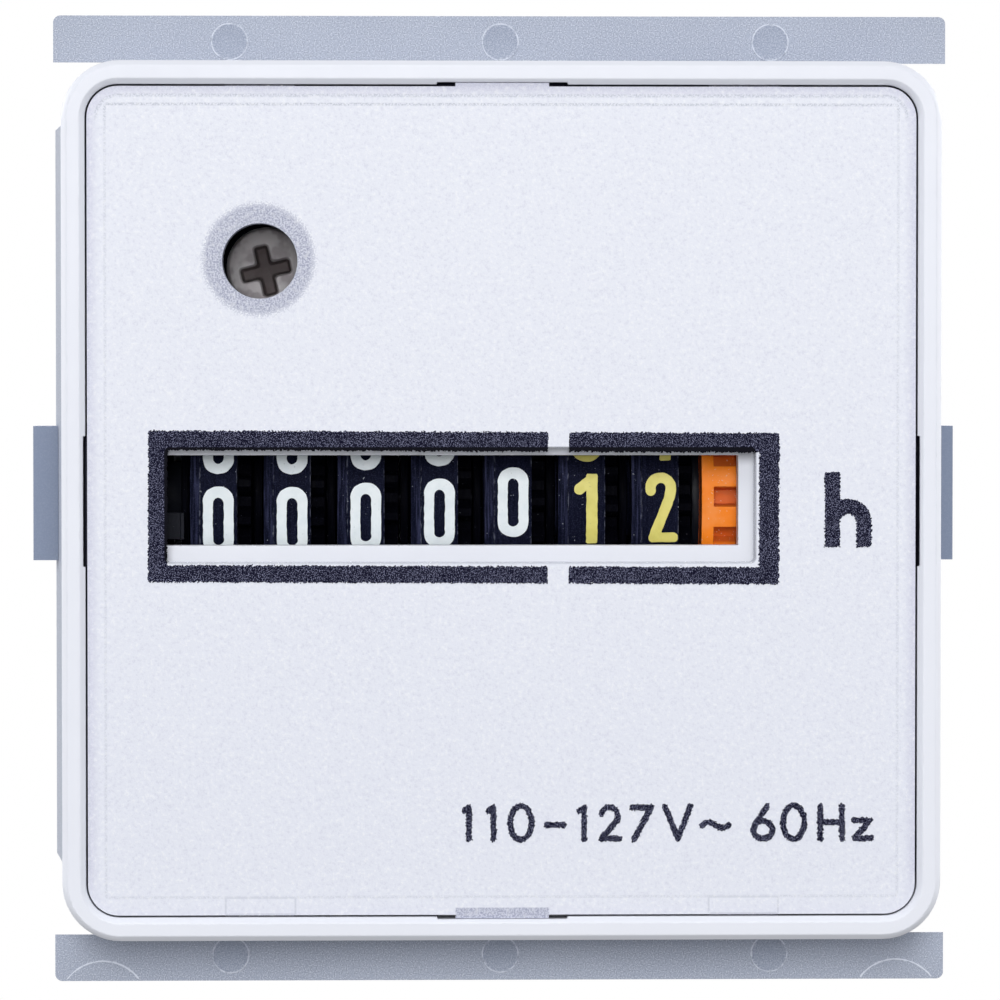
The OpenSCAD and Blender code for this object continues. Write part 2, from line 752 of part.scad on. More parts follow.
// Digit drum number i from the left, at its rest angle
module digit_drum(i) {
    x = first_drum + i * drum_pitch;
    color([0.05, 0.06, 0.09])
        difference() {
            union() {
                rod_x(x + ring_x, x + gear_x, [axis_y, 0], drum_r - ring_step);
                rod_x(x - band_w / 2, x + gear_x, [axis_y, 0], drum_r);
                along_x(x + gear_x - 0.1, drum_gear_w + 0.1)
                    translate([axis_y, 0])
                        rotate(drum_rest[i])
                            polygon(gear_points(drum_teeth, drum_module));
                driver(x - drum_left, hub_len, drum_rest[i]);
            }
            difference() {
                rod_x(x + ring_x - 0.01, x + gear_x - web_t, [axis_y, 0], drum_r - rim_t);
                driver(x - drum_left - 0.1, hub_len + 0.2, drum_rest[i]);
            }
            rod_x(x + gear_x + 0.1, x + gear_x + 2, [axis_y, 0], drum_module * (drum_teeth / 2 - dedendum) - 0.9);
            rod_x(x - drum_left - 1, x + drum_right + 1, [axis_y, 0], shaft_r + run_clear);
        }
    color([0.05, 0.06, 0.09])
        difference() {
            rod_x(x - drum_left, x + drum_right, [axis_y, 0], hub_r);
            rod_x(x - drum_left - 1, x + drum_right + 1, [axis_y, 0], shaft_r + run_clear);
        }
}

// Transfer pinion number i from the left, in mesh with its drum
module transfer_pinion(i) {
    x = first_drum + i * drum_pitch;
    wide = gear_x + drum_gear_w;
    color([0.8, 0.8, 0.78])
        difference() {
            union() {
                along_x(x + pinion_x0, wide - pinion_x0)
                    translate([axis_y, pinion_z])
                        rotate(mesh_phase(-90, drum_teeth, drum_rest[i], pinion_teeth))
                            polygon(gear_points(pinion_teeth, drum_module));
                along_x(x + pinion_x0, pinion_x1 - pinion_x0)
                    translate([axis_y, pinion_z])
                        rotate(mesh_phase(-90, drum_teeth, drum_rest[i], pinion_teeth))
                            intersection() {
                                polygon(gear_points(pinion_teeth, drum_module));
                                union() {
                                    circle(drum_module * (pinion_teeth / 2 - dedendum));
                                    square([8, 1.4], center = true);
                                    square([1.4, 8], center = true);
                                }
                            }
                rod_x(x + pinion_x1 - drum_pitch + 2 * end_play, x + pinion_x1, [axis_y, pinion_z], pinion_hub);
            }
            rod_x(x - drum_pitch, x + drum_pitch, [axis_y, pinion_z], pinion_shaft_r + run_clear);
        }
}

// Orange wheel that shows that the meter runs
module run_wheel() {
    color([0.95, 0.45, 0.08])
        difference() {
            union() {
                driver(run_x0, run_x5 - run_x0, run_rest);
                rod_x(run_x1, run_x2, [axis_y, 0], run_r);
                rod_x(run_x1, run_x4 + 0.1, [axis_y, 0], run_r - run_tooth_h);
                along_x(run_x2 - 0.1, run_band_w + 0.1)
                    translate([axis_y, 0])
                        intersection() {
                            circle(run_r);
                            for (i = [0:castellations / 2 - 1])
                                rotate(run_rest + i * 360 / castellations)
                                    square([20, PI * run_r / castellations], center = true);
                        }
                along_x(run_x4, run_x5 - run_x4)
                    translate([axis_y, 0])
                        polygon(gear_points(run_gear_teeth, train_module));
            }
            rod_x(run_x0 - 1, run_x5 + 1, [axis_y, 0], shaft_r + run_clear);
        }
}

// Compound gear: big wheel in one layer, small gear beside it, hub up to the gear plate
module compound(pos, big, wheel_x, small, small_x0, small_x1, phase) {
    color([0.85, 0.84, 0.78])
        difference() {
            union() {
                along_x(wheel_x, wheel_w)
                    translate(pos)
                        polygon(gear_points(big, train_module));
                along_x(small_x0, small_x1 - small_x0)
                    translate(pos)
                        rotate(phase)
                            polygon(gear_points(small, train_module));
                rod_x(wheel_x, gear_plate_x0 - end_play, pos, gear_hub_r);
                rod_x(small_x0, wheel_x + 0.1, pos, train_module * (small / 2 - dedendum));
            }
            rod_x(run_x0, inner_half, pos, arbor_r + run_clear);
        }
}

// Start of the wheel of layer k
function layer_x(k) = right_x1 + layer_gap + k * layer;

// Pin of a compound gear
module arbor(pos, x0) {
    color([0.7, 0.71, 0.73])
        rod_x(x0, gear_plate_x1, pos, arbor_r);
}

// Brass plate that carries the right ends of the arbors
module gear_plate() {
    y0 = min(third_pos[0], post_pos[2][0]) - 3;
    y1 = max(post_pos[1][0], first_pos[0]) + 1.8;
    z0 = post_pos[2][1] - 1.8;
    z1 = max(post_pos[0][1], rotor_pos[1]) + 2;
    color([0.75, 0.62, 0.33])
        difference() {
            along_x(gear_plate_x0, gear_plate_t)
                translate([(y0 + y1) / 2, (z0 + z1) / 2])
                    rrect(y1 - y0, z1 - z0, 1.5);
            for (p = [first_pos, second_pos, third_pos, rotor_pos])
                rod_x(gear_plate_x0 - 1, gear_plate_x1 + 1, p, arbor_r + fix_clear);
            for (p = post_pos)
                rod_x(gear_plate_x0 - 1, gear_plate_x1 + 1, p, post_screw_r + 0.1);
        }
}

// Small slotted screw with its head at x1
module small_screw(pos, x0, x1, head) {
    difference() {
        union() {
            rod_x(x0, x1 + 0.1, pos, post_screw_r);
            rod_x(x1, x1 + head, pos, small_head_r);
        }
        translate([x1 + head / 2, pos[0] - 2 * small_head_r, pos[1] - small_slot_w / 2])
            cube([head, 4 * small_head_r, small_slot_w]);
    }
}

// Screws of the gear plate
module gear_plate_screws() {
    color([0.62, 0.63, 0.65])
        for (p = post_pos)
            small_screw(p, right_x1 + small_head_r / 2, gear_plate_x1, plate_head_h);
}

// Magnet ring of the rotor
module rotor_magnet() {
    color([0.2, 0.2, 0.22])
        difference() {
            rod_x(motor_x0 + rotor_side, motor_x1 - rotor_side, rotor_pos, rotor_r);
            rod_x(motor_x0, motor_x1, rotor_pos, sleeve_r);
        }
}

// Sleeve and pinion of the rotor
module rotor_pinion() {
    color([0.85, 0.84, 0.78])
        difference() {
            union() {
                rod_x(motor_x0 + end_play, motor_x1 - rotor_side, rotor_pos, sleeve_r);
                rod_x(motor_x1 - rotor_side - 0.1, layer_x(2), rotor_pos, gear_hub_r);
                along_x(layer_x(2) - 0.05, gear_plate_x0 - end_play - layer_x(2) + 0.05)
                    translate(rotor_pos)
                        rotate(rotor_phase)
                            polygon(gear_points(rotor_teeth, train_module));
            }
            rod_x(motor_x0 - 2, inner_half, rotor_pos, arbor_r + run_clear);
        }
}

// Cup of the claw-pole stator, open to the right, with its claws
module stator_cup(turn) {
    mid = motor_len / 2;
    difference() {
        rod_x(0, mid - 0.02, [0, 0], motor_r);
        rod_x(cup_wall, mid + 1, [0, 0], motor_r - cup_wall);
        rod_x(-1, mid, [0, 0], (claw_r0 + claw_r1) / 2);
    }
    for (a = [0:60:300])
        rotate([a + turn, 0, 0])
            rotate([0, 90, 0])
                rotate_extrude(angle = 20)
                    translate([claw_r0, 0.1])
                        square([claw_r1 - claw_r0, motor_len - 2.1]);
}

// Left cup, with a gap for the coil terminals
module stator_cup_left() {
    color([0.66, 0.67, 0.69])
        difference() {
            translate([motor_x0, rotor_pos[0], rotor_pos[1]])
                stator_cup(0);
            translate([motor_x0 - 1, rotor_pos[0] - block_w / 2 - block_clear, rotor_pos[1] - motor_r - 1])
                cube([1 + cup_wall + block_len + 2 * block_clear, block_w + 2 * block_clear, 1 + block_rise + block_clear]);
        }
}

// Right cup, screwed to the chassis
module stator_cup_right() {
    color([0.66, 0.67, 0.69])
        difference() {
            translate([motor_x1, rotor_pos[0], rotor_pos[1]])
                mirror([1, 0, 0])
                    stator_cup(30);
            for (a = motor_screw_dirs)
                rod_x(motor_x1 - 2, motor_x1 + 1, rotor_pos + motor_screw_rad * [cos(a), sin(a)],
                      post_screw_r + fix_clear);
        }
}

// Plate on the left end of the motor that carries the rotor arbor
module motor_end_plate() {
    color([0.75, 0.62, 0.33])
        difference() {
            rod_x(motor_x0 - end_plate_t, motor_x0, rotor_pos, end_plate_r);
            rod_x(motor_x0 - 2, motor_x0 + 1, rotor_pos, arbor_r + fix_clear);
        }
}

// Spool of the motor coil with its terminal block
module coil_bobbin() {
    x0 = motor_x0 + cup_wall + 0.1;
    x1 = motor_x1 - cup_wall - bobbin_room;
    color([0.9, 0.88, 0.8])
        difference() {
            union() {
                rod_x(x0, x1, rotor_pos, bobbin_r + bobbin_wall);
                rod_x(x0, x0 + bobbin_flange, rotor_pos, motor_r - cup_wall - block_clear);
                rod_x(x1 - bobbin_flange, x1, rotor_pos, motor_r - cup_wall - block_clear);
                translate([x0, rotor_pos[0] - block_w / 2, rotor_pos[1] - motor_r - block_drop])
                    cube([block_len, block_w, block_drop + block_rise]);
            }
            rod_x(x0 - 1, x1 + 1, rotor_pos, bobbin_r);
        }
}

// Copper winding of the motor coil
module coil_winding() {
    x0 = motor_x0 + cup_wall + 0.1 + bobbin_flange;
    x1 = motor_x1 - cup_wall - bobbin_room - bobbin_flange;
    color([0.7, 0.36, 0.18])
        difference() {
            rod_x(x0 + end_play, x1 - end_play, rotor_pos, motor_r - cup_wall - coil_room);
            rod_x(x0 - 1, x1 + 1, rotor_pos, bobbin_r + bobbin_wall + fix_clear);
        }
}

// Screws that hold the motor on the chassis
module motor_screws() {
    color([0.62, 0.63, 0.65])
        for (a = motor_screw_dirs)
            small_screw(rotor_pos + motor_screw_rad * [cos(a), sin(a)], motor_x1 - cup_wall, right_x1, motor_head_h);
}

// Round wire through a list of points
module wire(points) {
    for (i = [0:len(points) - 2]) {
        v = points[i + 1] - points[i];
        translate(points[i])
            rotate([0, acos(v[2] / norm(v)), atan2(v[1], v[0])])
                cylinder(h = norm(v), r = lead_r);
    }
    for (i = [1:len(points) - 2])
        translate(points[i])
            sphere(lead_r);
}

// Lead from the coil to the left (-1) or right (1) terminal
module lead_wire(s) {
    x = motor_x0 + cup_wall + 0.1 + block_len / 2;
    y = rotor_pos[0] - s * lead_step;
    z = rotor_pos[1] - motor_r - block_drop;
    low = -blade_z - s * lead_step;
    color(s < 0 ? [0.15, 0.25, 0.6] : [0.65, 0.12, 0.1])
        wire([[x, y, z], [x, y, low], [x, body_d - lead_end, low], [s * (blade_x - blade_t / 2), body_d - lead_end, low]]);
}

case();
front_plate();
mounting_frame();
rear_base();
case_screw();
terminal_tab(-1);  // terminal_tab_left
terminal_tab(1);  // terminal_tab_right
counter_chassis();
drum_shaft();
pinion_shaft();
digit_drum(0);  // drum_ten_thousands
digit_drum(1);  // drum_thousands
digit_drum(2);  // drum_hundreds
digit_drum(3);  // drum_tens
digit_drum(4);  // drum_units
digit_drum(5);  // drum_tenths
digit_drum(6);  // drum_hundredths
run_wheel();
transfer_pinion(0);  // pinion_ten_thousands
transfer_pinion(1);  // pinion_thousands
transfer_pinion(2);  // pinion_hundreds
transfer_pinion(3);  // pinion_tens
transfer_pinion(4);  // pinion_units
transfer_pinion(5);  // pinion_tenths
transfer_pinion(6);  // pinion_hundredths
compound(first_pos, first_big, layer_x(2), first_small, layer_x(1) - 0.1, layer_x(2) + 0.1, first_small_phase);  // first_gear
compound(second_pos, second_big, layer_x(1), second_small, layer_x(0) - 0.1, layer_x(1) + 0.1, second_small_phase);  // second_gear
compound(third_pos, third_big, layer_x(0), third_small, run_x4, run_x5 + 0.15, third_small_phase);  // third_gear
arbor(first_pos, right_x0);  // first_arbor
arbor(second_pos, right_x0);  // second_arbor
arbor(third_pos, run_x4 - 0.1);  // third_arbor
gear_plate();
gear_plate_screws();
rotor_magnet();
rotor_pinion();
arbor(rotor_pos, motor_x0 - end_plate_t);  // rotor_arbor
stator_cup_left();
stator_cup_right();
motor_end_plate();
coil_bobbin();
coil_winding();
motor_screws();
lead_wire(-1);  // lead_wire_left
lead_wire(1);  // lead_wire_right
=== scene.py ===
"""Looks of a panel hour meter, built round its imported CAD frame.

Lengths are in millimetres in the frame of the part: X to the right, Y into the
panel, Z up, with the origin at the centre of the panel plane.
"""
import logging
import math
from dataclasses import dataclass, replace
from enum import Enum
from typing import Callable, ClassVar, Dict, List, Optional, Sequence, Tuple, Union

import bpy
import numpy as np
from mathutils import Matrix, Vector


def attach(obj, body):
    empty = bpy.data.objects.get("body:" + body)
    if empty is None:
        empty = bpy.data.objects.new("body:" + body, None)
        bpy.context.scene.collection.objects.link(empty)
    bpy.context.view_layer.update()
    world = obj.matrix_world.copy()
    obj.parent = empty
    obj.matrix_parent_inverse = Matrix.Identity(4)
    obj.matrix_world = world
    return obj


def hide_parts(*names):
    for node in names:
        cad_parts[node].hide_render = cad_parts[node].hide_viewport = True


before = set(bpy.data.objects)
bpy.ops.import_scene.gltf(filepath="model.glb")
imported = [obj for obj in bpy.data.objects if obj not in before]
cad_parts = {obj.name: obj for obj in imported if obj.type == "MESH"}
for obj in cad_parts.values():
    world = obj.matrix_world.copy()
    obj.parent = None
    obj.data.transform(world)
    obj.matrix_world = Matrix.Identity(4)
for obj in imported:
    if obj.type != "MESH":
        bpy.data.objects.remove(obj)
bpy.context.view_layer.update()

log = logging.getLogger("hour_meter")

MM = 0.001
Point = Tuple[float, float]
Triple = Tuple[float, float, float]
Colour = Triple
Place = Callable[[np.ndarray, np.ndarray, float], np.ndarray]
Face = Tuple[int, ...]
Polygons = Tuple[np.ndarray, List[Face]]
Number = Union["Sig", float]

# Sizes and places that several pieces share, in millimetres
BAR_FRONT = 2.2
MARK_X = 15.0
MARK_Z = 25.37
PLATE_FRONT = -2.65
SCREW_AT: Point = (-13.2, 13.1)
DRUM_FIRST_X = -15.6017
DRUM_PITCH = 4.0698
DRUM_AXIS_Y = 7.9
PLACES = ("ten_thousands", "thousands", "hundreds", "tens", "units", "tenths", "hundredths")

# Colours that several finishes share
WHITE: Colour = (1.0, 1.0, 1.0)
# Painted shade for the narrow gaps round the front plate
GAP_SHADE: Colour = (0.012, 0.012, 0.03)
DARK_SPECK: Colour = (0.12, 0.13, 0.17)


@dataclass(frozen=True)
class RoundBox:
    """Rounded rectangle on a flat face."""

    u: float
    v: float
    half_u: float
    half_v: float
    r: float

    def distance(self, u: np.ndarray, v: np.ndarray) -> np.ndarray:
        """Distance of flat points from the edge, negative inside."""
        across = np.abs(u - self.u) - (self.half_u - self.r)
        along = np.abs(v - self.v) - (self.half_v - self.r)
        outside = np.hypot(np.maximum(across, 0), np.maximum(along, 0))
        return outside + np.minimum(np.maximum(across, along), 0) - self.r


def math_method(operation: str, swapped: bool = False) -> Callable[["Sig", Number], "Sig"]:
    """Make a method that joins a socket and another value.

    Args:
        operation: name of the Math operation.
        swapped: whether the other value comes first.

    Returns:
        The method.
    """
    def method(self: "Sig", other: Number) -> "Sig":
        """Join the two values by a Math node."""
        return self.math(operation, other, self) if swapped else self.math(operation, self, other)

    return method


class Sig:
    """A shader socket that adds Math nodes when it is used in arithmetic."""

    def __init__(self, graph: "Graph", socket: bpy.types.NodeSocket) -> None:
        """Wrap one output socket of a graph."""
        self.graph = graph
        self.socket = socket

    def other(self, key: Union[int, str]) -> "Sig":
        """Return another output of the same node."""
        return Sig(self.graph, self.socket.node.outputs[key])

    def math(self, operation: str, *values: Number) -> "Sig":
        """Add a Math node over the given values.

        Args:
            operation: name of the Math operation.
            values: sockets or numbers, in the order of the node's inputs.

        Returns:
            The result of the node.
        """
        return self.graph.node("ShaderNodeMath", {"operation": operation}, dict(enumerate(values)))

    __add__ = __radd__ = math_method("ADD")
    __sub__ = math_method("SUBTRACT")
    __rsub__ = math_method("SUBTRACT", True)
    __mul__ = __rmul__ = math_method("MULTIPLY")
    __truediv__ = math_method("DIVIDE")
    __rtruediv__ = math_method("DIVIDE", True)
    least = math_method("MINIMUM")
    most = math_method("MAXIMUM")

    def __abs__(self) -> "Sig":
        """Absolute value."""
        return self.math("ABSOLUTE", self)

    def hypot(self, other: "Sig") -> "Sig":
        """Length of the line whose two parts these are."""
        squares = self * self + other * other
        return squares.math("SQRT", squares)

    def sine(self) -> "Sig":
        """Sine of an angle in radians."""
        return self.math("SINE", self)

    def fraction(self) -> "Sig":
        """What is left above the whole number below."""
        return self.math("FRACT", self)

    def step(self, low: float, high: float) -> "Sig":
        """Smooth step that is 0 at low and 1 at high, which may be the smaller."""
        rising = low < high
        ends = (low, high) if rising else (high, low)
        values = {0: self, 1: ends[0], 2: ends[1], 3: float(not rising), 4: float(rising)}
        return self.graph.node("ShaderNodeMapRange", {"interpolation_type": "SMOOTHSTEP"}, values)


Value = Union[Sig, float, Colour]
Sockets = Dict[str, Value]


class Graph:
    """Node tree of a material or a world."""

    def __init__(self, owner: Union[bpy.types.Material, bpy.types.World]) -> None:
        """Start an empty node tree on its owner."""
        owner.use_nodes = True
        self.tree = owner.node_tree
        self.tree.nodes.clear()
        self._place: Optional[Sig] = None

    def node(self, kind: str, settings: Optional[Dict[str, object]] = None,
             sockets: Optional[Dict[Union[int, str], Value]] = None) -> Sig:
        """Add a node.

        Args:
            kind: Blender's type name of the node.
            settings: attributes of the node, which are set first.
            sockets: values or links of the inputs, by name or number.

        Returns:
            The first enabled output of the node, or its first input if it has none.
        """
        made = self.tree.nodes.new(kind)
        for key, value in (settings or {}).items():
            setattr(made, key, value)
        for key, value in (sockets or {}).items():
            socket = made.inputs[key]
            if isinstance(value, Sig):
                self.tree.links.new(value.socket, socket)
            elif isinstance(value, tuple) and socket.type == "RGBA":
                socket.default_value = (*value, 1.0)
            else:
                socket.default_value = value
        shown = [s for s in made.outputs if s.enabled]
        return Sig(self, shown[0] if shown else made.inputs[0])

    def place(self) -> Sig:
        """Position on the piece in millimetres, as a vector."""
        if self._place is None:
            here = self.node("ShaderNodeTexCoord").other("Object")
            self._place = self.node("ShaderNodeVectorMath", {"operation": "SCALE"}, {0: here, 3: 1 / MM})
        return self._place

    def xyz(self) -> Tuple[Sig, Sig, Sig]:
        """Position on the piece in millimetres, as three values."""
        split = self.node("ShaderNodeSeparateXYZ", None, {0: self.place()})
        return split, split.other(1), split.other(2)

    def noise(self, scale: float, detail: float = 2.0, stretch: Optional[Triple] = None,
              rough: float = 0.55) -> Sig:
        """Noise over the piece.

        Args:
            scale: cells for each millimetre.
            detail: octaves of finer noise.
            stretch: factors on the three axes, for streaks.
            rough: weight of the finer octaves.

        Returns:
            A value of about 0 to 1.
        """
        where = self.place()
        if stretch:
            where = self.node("ShaderNodeVectorMath", {"operation": "MULTIPLY"}, {0: where, 1: stretch})
        sockets = {"Vector": where, "Scale": scale, "Detail": detail, "Roughness": rough}
        return self.node("ShaderNodeTexNoise", None, sockets)

    def mix(self, low: Value, high: Value, share: Value) -> Sig:
        """Blend two colours by a share of 0 to 1."""
        return self.node("ShaderNodeMix", {"data_type": "RGBA"}, {0: share, 6: low, 7: high})

    def layers(self, base: Value, *layers: Tuple[Value, Value]) -> Sig:
        """Lay colours over a base.

        Args:
            base: colour underneath.
            layers: colours, each with the share in which it covers what lies below.

        Returns:
            The blended colour.
        """
        for colour, share in layers:
            base = self.mix(base, colour, share)
        return base

    def round_box(self, u: Sig, v: Sig, box: "RoundBox") -> Sig:
        """Distance from the edge of a rounded rectangle, negative inside."""
        across = abs(u - box.u) - (box.half_u - box.r)
        along = abs(v - box.v) - (box.half_v - box.r)
        return across.most(0.0).hypot(along.most(0.0)) + across.most(along).least(0.0) - box.r


class Axis(Enum):
    """Direction of the lay of a worked metal."""

    X = (0.12, 1.0, 1.0)
    Y = (1.0, 0.12, 1.0)
    Z = (1.0, 1.0, 0.12)
    ROUND_X = (1.0, 0.06, 0.06)


class Grain(Enum):
    """Texture of a mould: cells for each millimetre and depth in millimetres."""

    POLISHED = (1.6, 0.004)
    SATIN = (5.0, 0.006)
    SPARK = (8.0, 0.012)


class Finish:
    """Base of the finishes: makes one material from the sockets that a finish gives."""

    name: str
    _made: Dict[str, bpy.types.Material] = {}

    def shade(self, g: Graph) -> Sockets:
        """Return the shader's sockets by name; "Height" is the bump in millimetres."""
        raise NotImplementedError

    def material(self) -> bpy.types.Material:
        """Return the material of this finish, made once."""
        if self.name not in Finish._made:
            made = bpy.data.materials.new(self.name)
            g = Graph(made)
            sockets = self.shade(g)
            height = sockets.pop("Height", None)
            if height is not None:
                bump = {"Strength": 1.0, "Distance": MM, "Height": height}
                sockets["Normal"] = g.node("ShaderNodeBump", None, bump)
            surface = g.node("ShaderNodeBsdfPrincipled", None, sockets)
            g.node("ShaderNodeOutputMaterial", None, {"Surface": surface})
            Finish._made[self.name] = made
        return Finish._made[self.name]


@dataclass(frozen=True)
class MouldedPlastic(Finish):
    """Moulded plastic with a mottled colour, a mould grain and settled dust."""

    name: str
    colour: Colour
    tint: Colour
    roughness: float
    grain: Grain
    dust: float = 0.0
    dust_colour: Colour = (0.75, 0.78, 0.84)
    specular: float = 0.5
    fleck: float = 0.0

    def shade(self, g: Graph) -> Sockets:
        """Mottle, grain, flow streaks, pale flecks and dust."""
        cells, depth = self.grain.value
        broad = g.noise(0.11, 3.0)
        fine = g.noise(cells, 2.0)
        flow = g.noise(0.8, 2.0, (1.0, 0.2, 1.0))
        share = broad.step(0.3, 0.72) * 0.6 + fine * 0.25 + flow * 0.15
        colour = g.mix(self.colour, self.tint, share)
        rough = self.roughness + (fine - 0.5) * 0.16 + (broad - 0.5) * 0.14
        if self.fleck:
            flecks = g.noise(15.0, 0.0)
            colour = g.mix(colour, self.dust_colour, flecks.step(0.52, 0.75) * self.fleck)
            colour = g.mix(colour, DARK_SPECK, flecks.step(0.48, 0.25) * self.fleck * 0.6)
        if self.dust:
            specks = g.noise(4.5, 1.0).step(0.86 - self.dust, 0.9 - self.dust)
            colour = g.mix(colour, self.dust_colour, specks * 0.8)
            rough = rough + specks * 0.3
        return {"Base Color": colour, "Roughness": rough, "Specular IOR Level": self.specular,
                "Height": fine * depth + flow * 0.004}


@dataclass(frozen=True)
class ClampPlastic(MouldedPlastic):
    """Grey plastic of the clamping frame, with painted shade on the ears and the marks of ejector pins with
    a painted highlight on their ridges.
    """

    ear: Colour = (0.225, 0.27, 0.375)
    ear_x: float = 25.3
    ear_y: float = 17.4
    ear_half: float = 3.95
    mark_r: float = 1.0
    mark_glint: Colour = (0.70, 0.74, 0.84)

    def shade(self, g: Graph) -> Sockets:
        """Grey plastic with painted shade on the ears, and round marks with a painted highlight on their
        ridges on the front of the bars.
        """
        sockets = super().shade(g)
        x, y, z = g.xyz()
        side, height = abs(x), abs(z)
        r = side.least(abs(side - MARK_X)).hypot(height - MARK_Z)
        front = y.step(BAR_FRONT + 0.3, BAR_FRONT + 0.1)
        # Painted shade: the ears at the back of the frame are darkened
        ear = side.step(self.ear_x, self.ear_x + 0.15) * height.step(self.ear_half + 0.1, self.ear_half)
        ear = ear * y.step(self.ear_y - 0.3, self.ear_y)
        # Painted highlight: a pale line on the ridge of each ejector mark
        line = abs(r - self.mark_r).step(0.055, 0.02) * g.noise(3.0, 2.0).step(0.3, 0.6)
        sockets["Base Color"] = g.layers(
            sockets["Base Color"],
            # Painted shade on the ears; the same grey also tones the discs of the ejector marks
            (self.ear, ear * 0.9),
            (self.ear, r.step(self.mark_r, self.mark_r - 0.1) * front * 0.3),
            (self.mark_glint, line * front * 0.8),
        )
        return sockets


@dataclass(frozen=True)
class CasePlastic(MouldedPlastic):
    """White plastic of the case, with painted shade in the narrow gap round the plate."""

    recess: RoundBox = RoundBox(0.0, 0.0, 22.7, 22.7, 1.8)
    gap_front: float = -2.5
    gap_back: float = -1.0
    low_fade: Point = (-22.0, -20.0)

    def shade(self, g: Graph) -> Sockets:
        """White plastic with painted shade on the wall of the recess, weaker at the bottom."""
        sockets = super().shade(g)
        x, y, z = g.xyz()
        wall = abs(g.round_box(x, z, self.recess)).step(0.2, 0.15)
        deep = y.step(self.gap_front - 0.1, self.gap_front) * y.step(self.gap_back, self.gap_back - 0.1)
        weak_low = 0.4 + z.step(*self.low_fade) * 0.6
        # Painted shade: the recess wall in the gap is darkened, less towards the bottom
        sockets["Base Color"] = g.mix(sockets["Base Color"], GAP_SHADE, wall * deep * weak_low)
        return sockets


@dataclass(frozen=True)
class DrumPlastic(Finish):
    """Black number drum: painted reflection streaks on the ring, painted highlights on the edges of the
    band, painted shade over the gear, and settled dust.
    """

    name: str
    colour: Colour
    sheen: Colour
    dust: Colour
    shadow: Colour
    half_band: float
    ring_w: float

    def shade(self, g: Graph) -> Sockets:
        """Painted reflection streaks, painted edge highlights and painted shade round the drum, by the
        zones of its width.
        """
        x, _, _ = g.xyz()
        across = (((x - DRUM_FIRST_X) / DRUM_PITCH + 0.5).fraction() - 0.5) * DRUM_PITCH
        streak = g.noise(9.0, 2.0, (1.0, 0.05, 0.05)).step(0.4, 0.7)
        cloud = g.noise(0.6, 3.0)
        ring = across.step(-self.half_band + 0.01, -self.half_band - 0.01)
        past = across.step(self.half_band - 0.01, self.half_band + 0.02)
        ring_end = -self.half_band - self.ring_w
        # Zone of painted shade: the gear beyond the band and the gap past the ring
        hidden = past.most(across.step(ring_end + 0.02, ring_end))
        edge = abs(abs(across) - self.half_band).step(0.06, 0.01)
        specks = g.noise(6.0, 1.0).step(0.74, 0.8)
        grit = g.noise(17.0, 0.0).step(0.5, 0.75)
        # Painted highlight along the edges of the band
        edge_glint = edge * g.noise(2.5, 2.0).step(0.45, 0.7)
        # Painted reflection: streaks of sheen, strongest on the ring, with fine grit
        sheen_and_grit = streak * (0.1 + ring * 0.6) * (0.3 + cloud) + grit * 0.22 + edge_glint * 0.5
        colour = g.layers(
            self.colour,
            (self.sheen, sheen_and_grit),
            # Painted highlight on the band edges, in the dust colour
            (self.dust, edge_glint * 0.2),
            # Painted shade over the gear and the gap between the drums
            (self.shadow, hidden * 0.95),
            (self.dust, specks * (1.0 - hidden * 0.8) * 0.6),
        )
        rough = 0.45 + streak * 0.14 + specks * 0.3
        return {"Base Color": colour, "Roughness": rough, "Specular IOR Level": 0.012,
                "Height": streak * 0.006 + specks * 0.01}


@dataclass(frozen=True)
class SignalWheel(Finish):
    """Bright wheel that shows that the meter runs, with painted shade that makes the collar beside it
    black.
    """

    name: str
    colour: Colour
    sheen_and_grain: Colour
    deep: Colour
    speck: Colour
    collar: Colour
    collar_x: float
    tip_r: float

    def shade(self, g: Graph) -> Sockets:
        """Painted reflection patches with grain, painted shade in the gaps and on the collar, and dust over
        the bright plastic.
        """
        x, y, z = g.xyz()
        radius = (y - DRUM_AXIS_Y).hypot(z)
        # Painted reflection: lighter patches at random
        sheen_patches = g.noise(0.7, 3.0).step(0.45, 0.75)
        fine = g.noise(5.0, 2.0)
        specks = g.noise(7.0, 1.0).step(0.68, 0.76)
        low = radius.step(self.tip_r - 0.25, self.tip_r - 0.7)
        colour = g.layers(
            self.colour,
            # Painted reflection patches, with some grain
            (self.sheen_and_grain, sheen_patches * 0.5 + fine * 0.12),
            # Painted shade in the gaps between the teeth
            (self.deep, low * 0.8),
            (self.speck, specks * 0.5),
            # Painted shade: the collar is made black
            (self.collar, x.step(self.collar_x, self.collar_x - 0.02)),
        )
        rough = 0.4 + fine * 0.15 + specks * 0.2
        return {"Base Color": colour, "Roughness": rough, "Specular IOR Level": 0.2,
                "Height": fine * 0.006 + specks * 0.008}


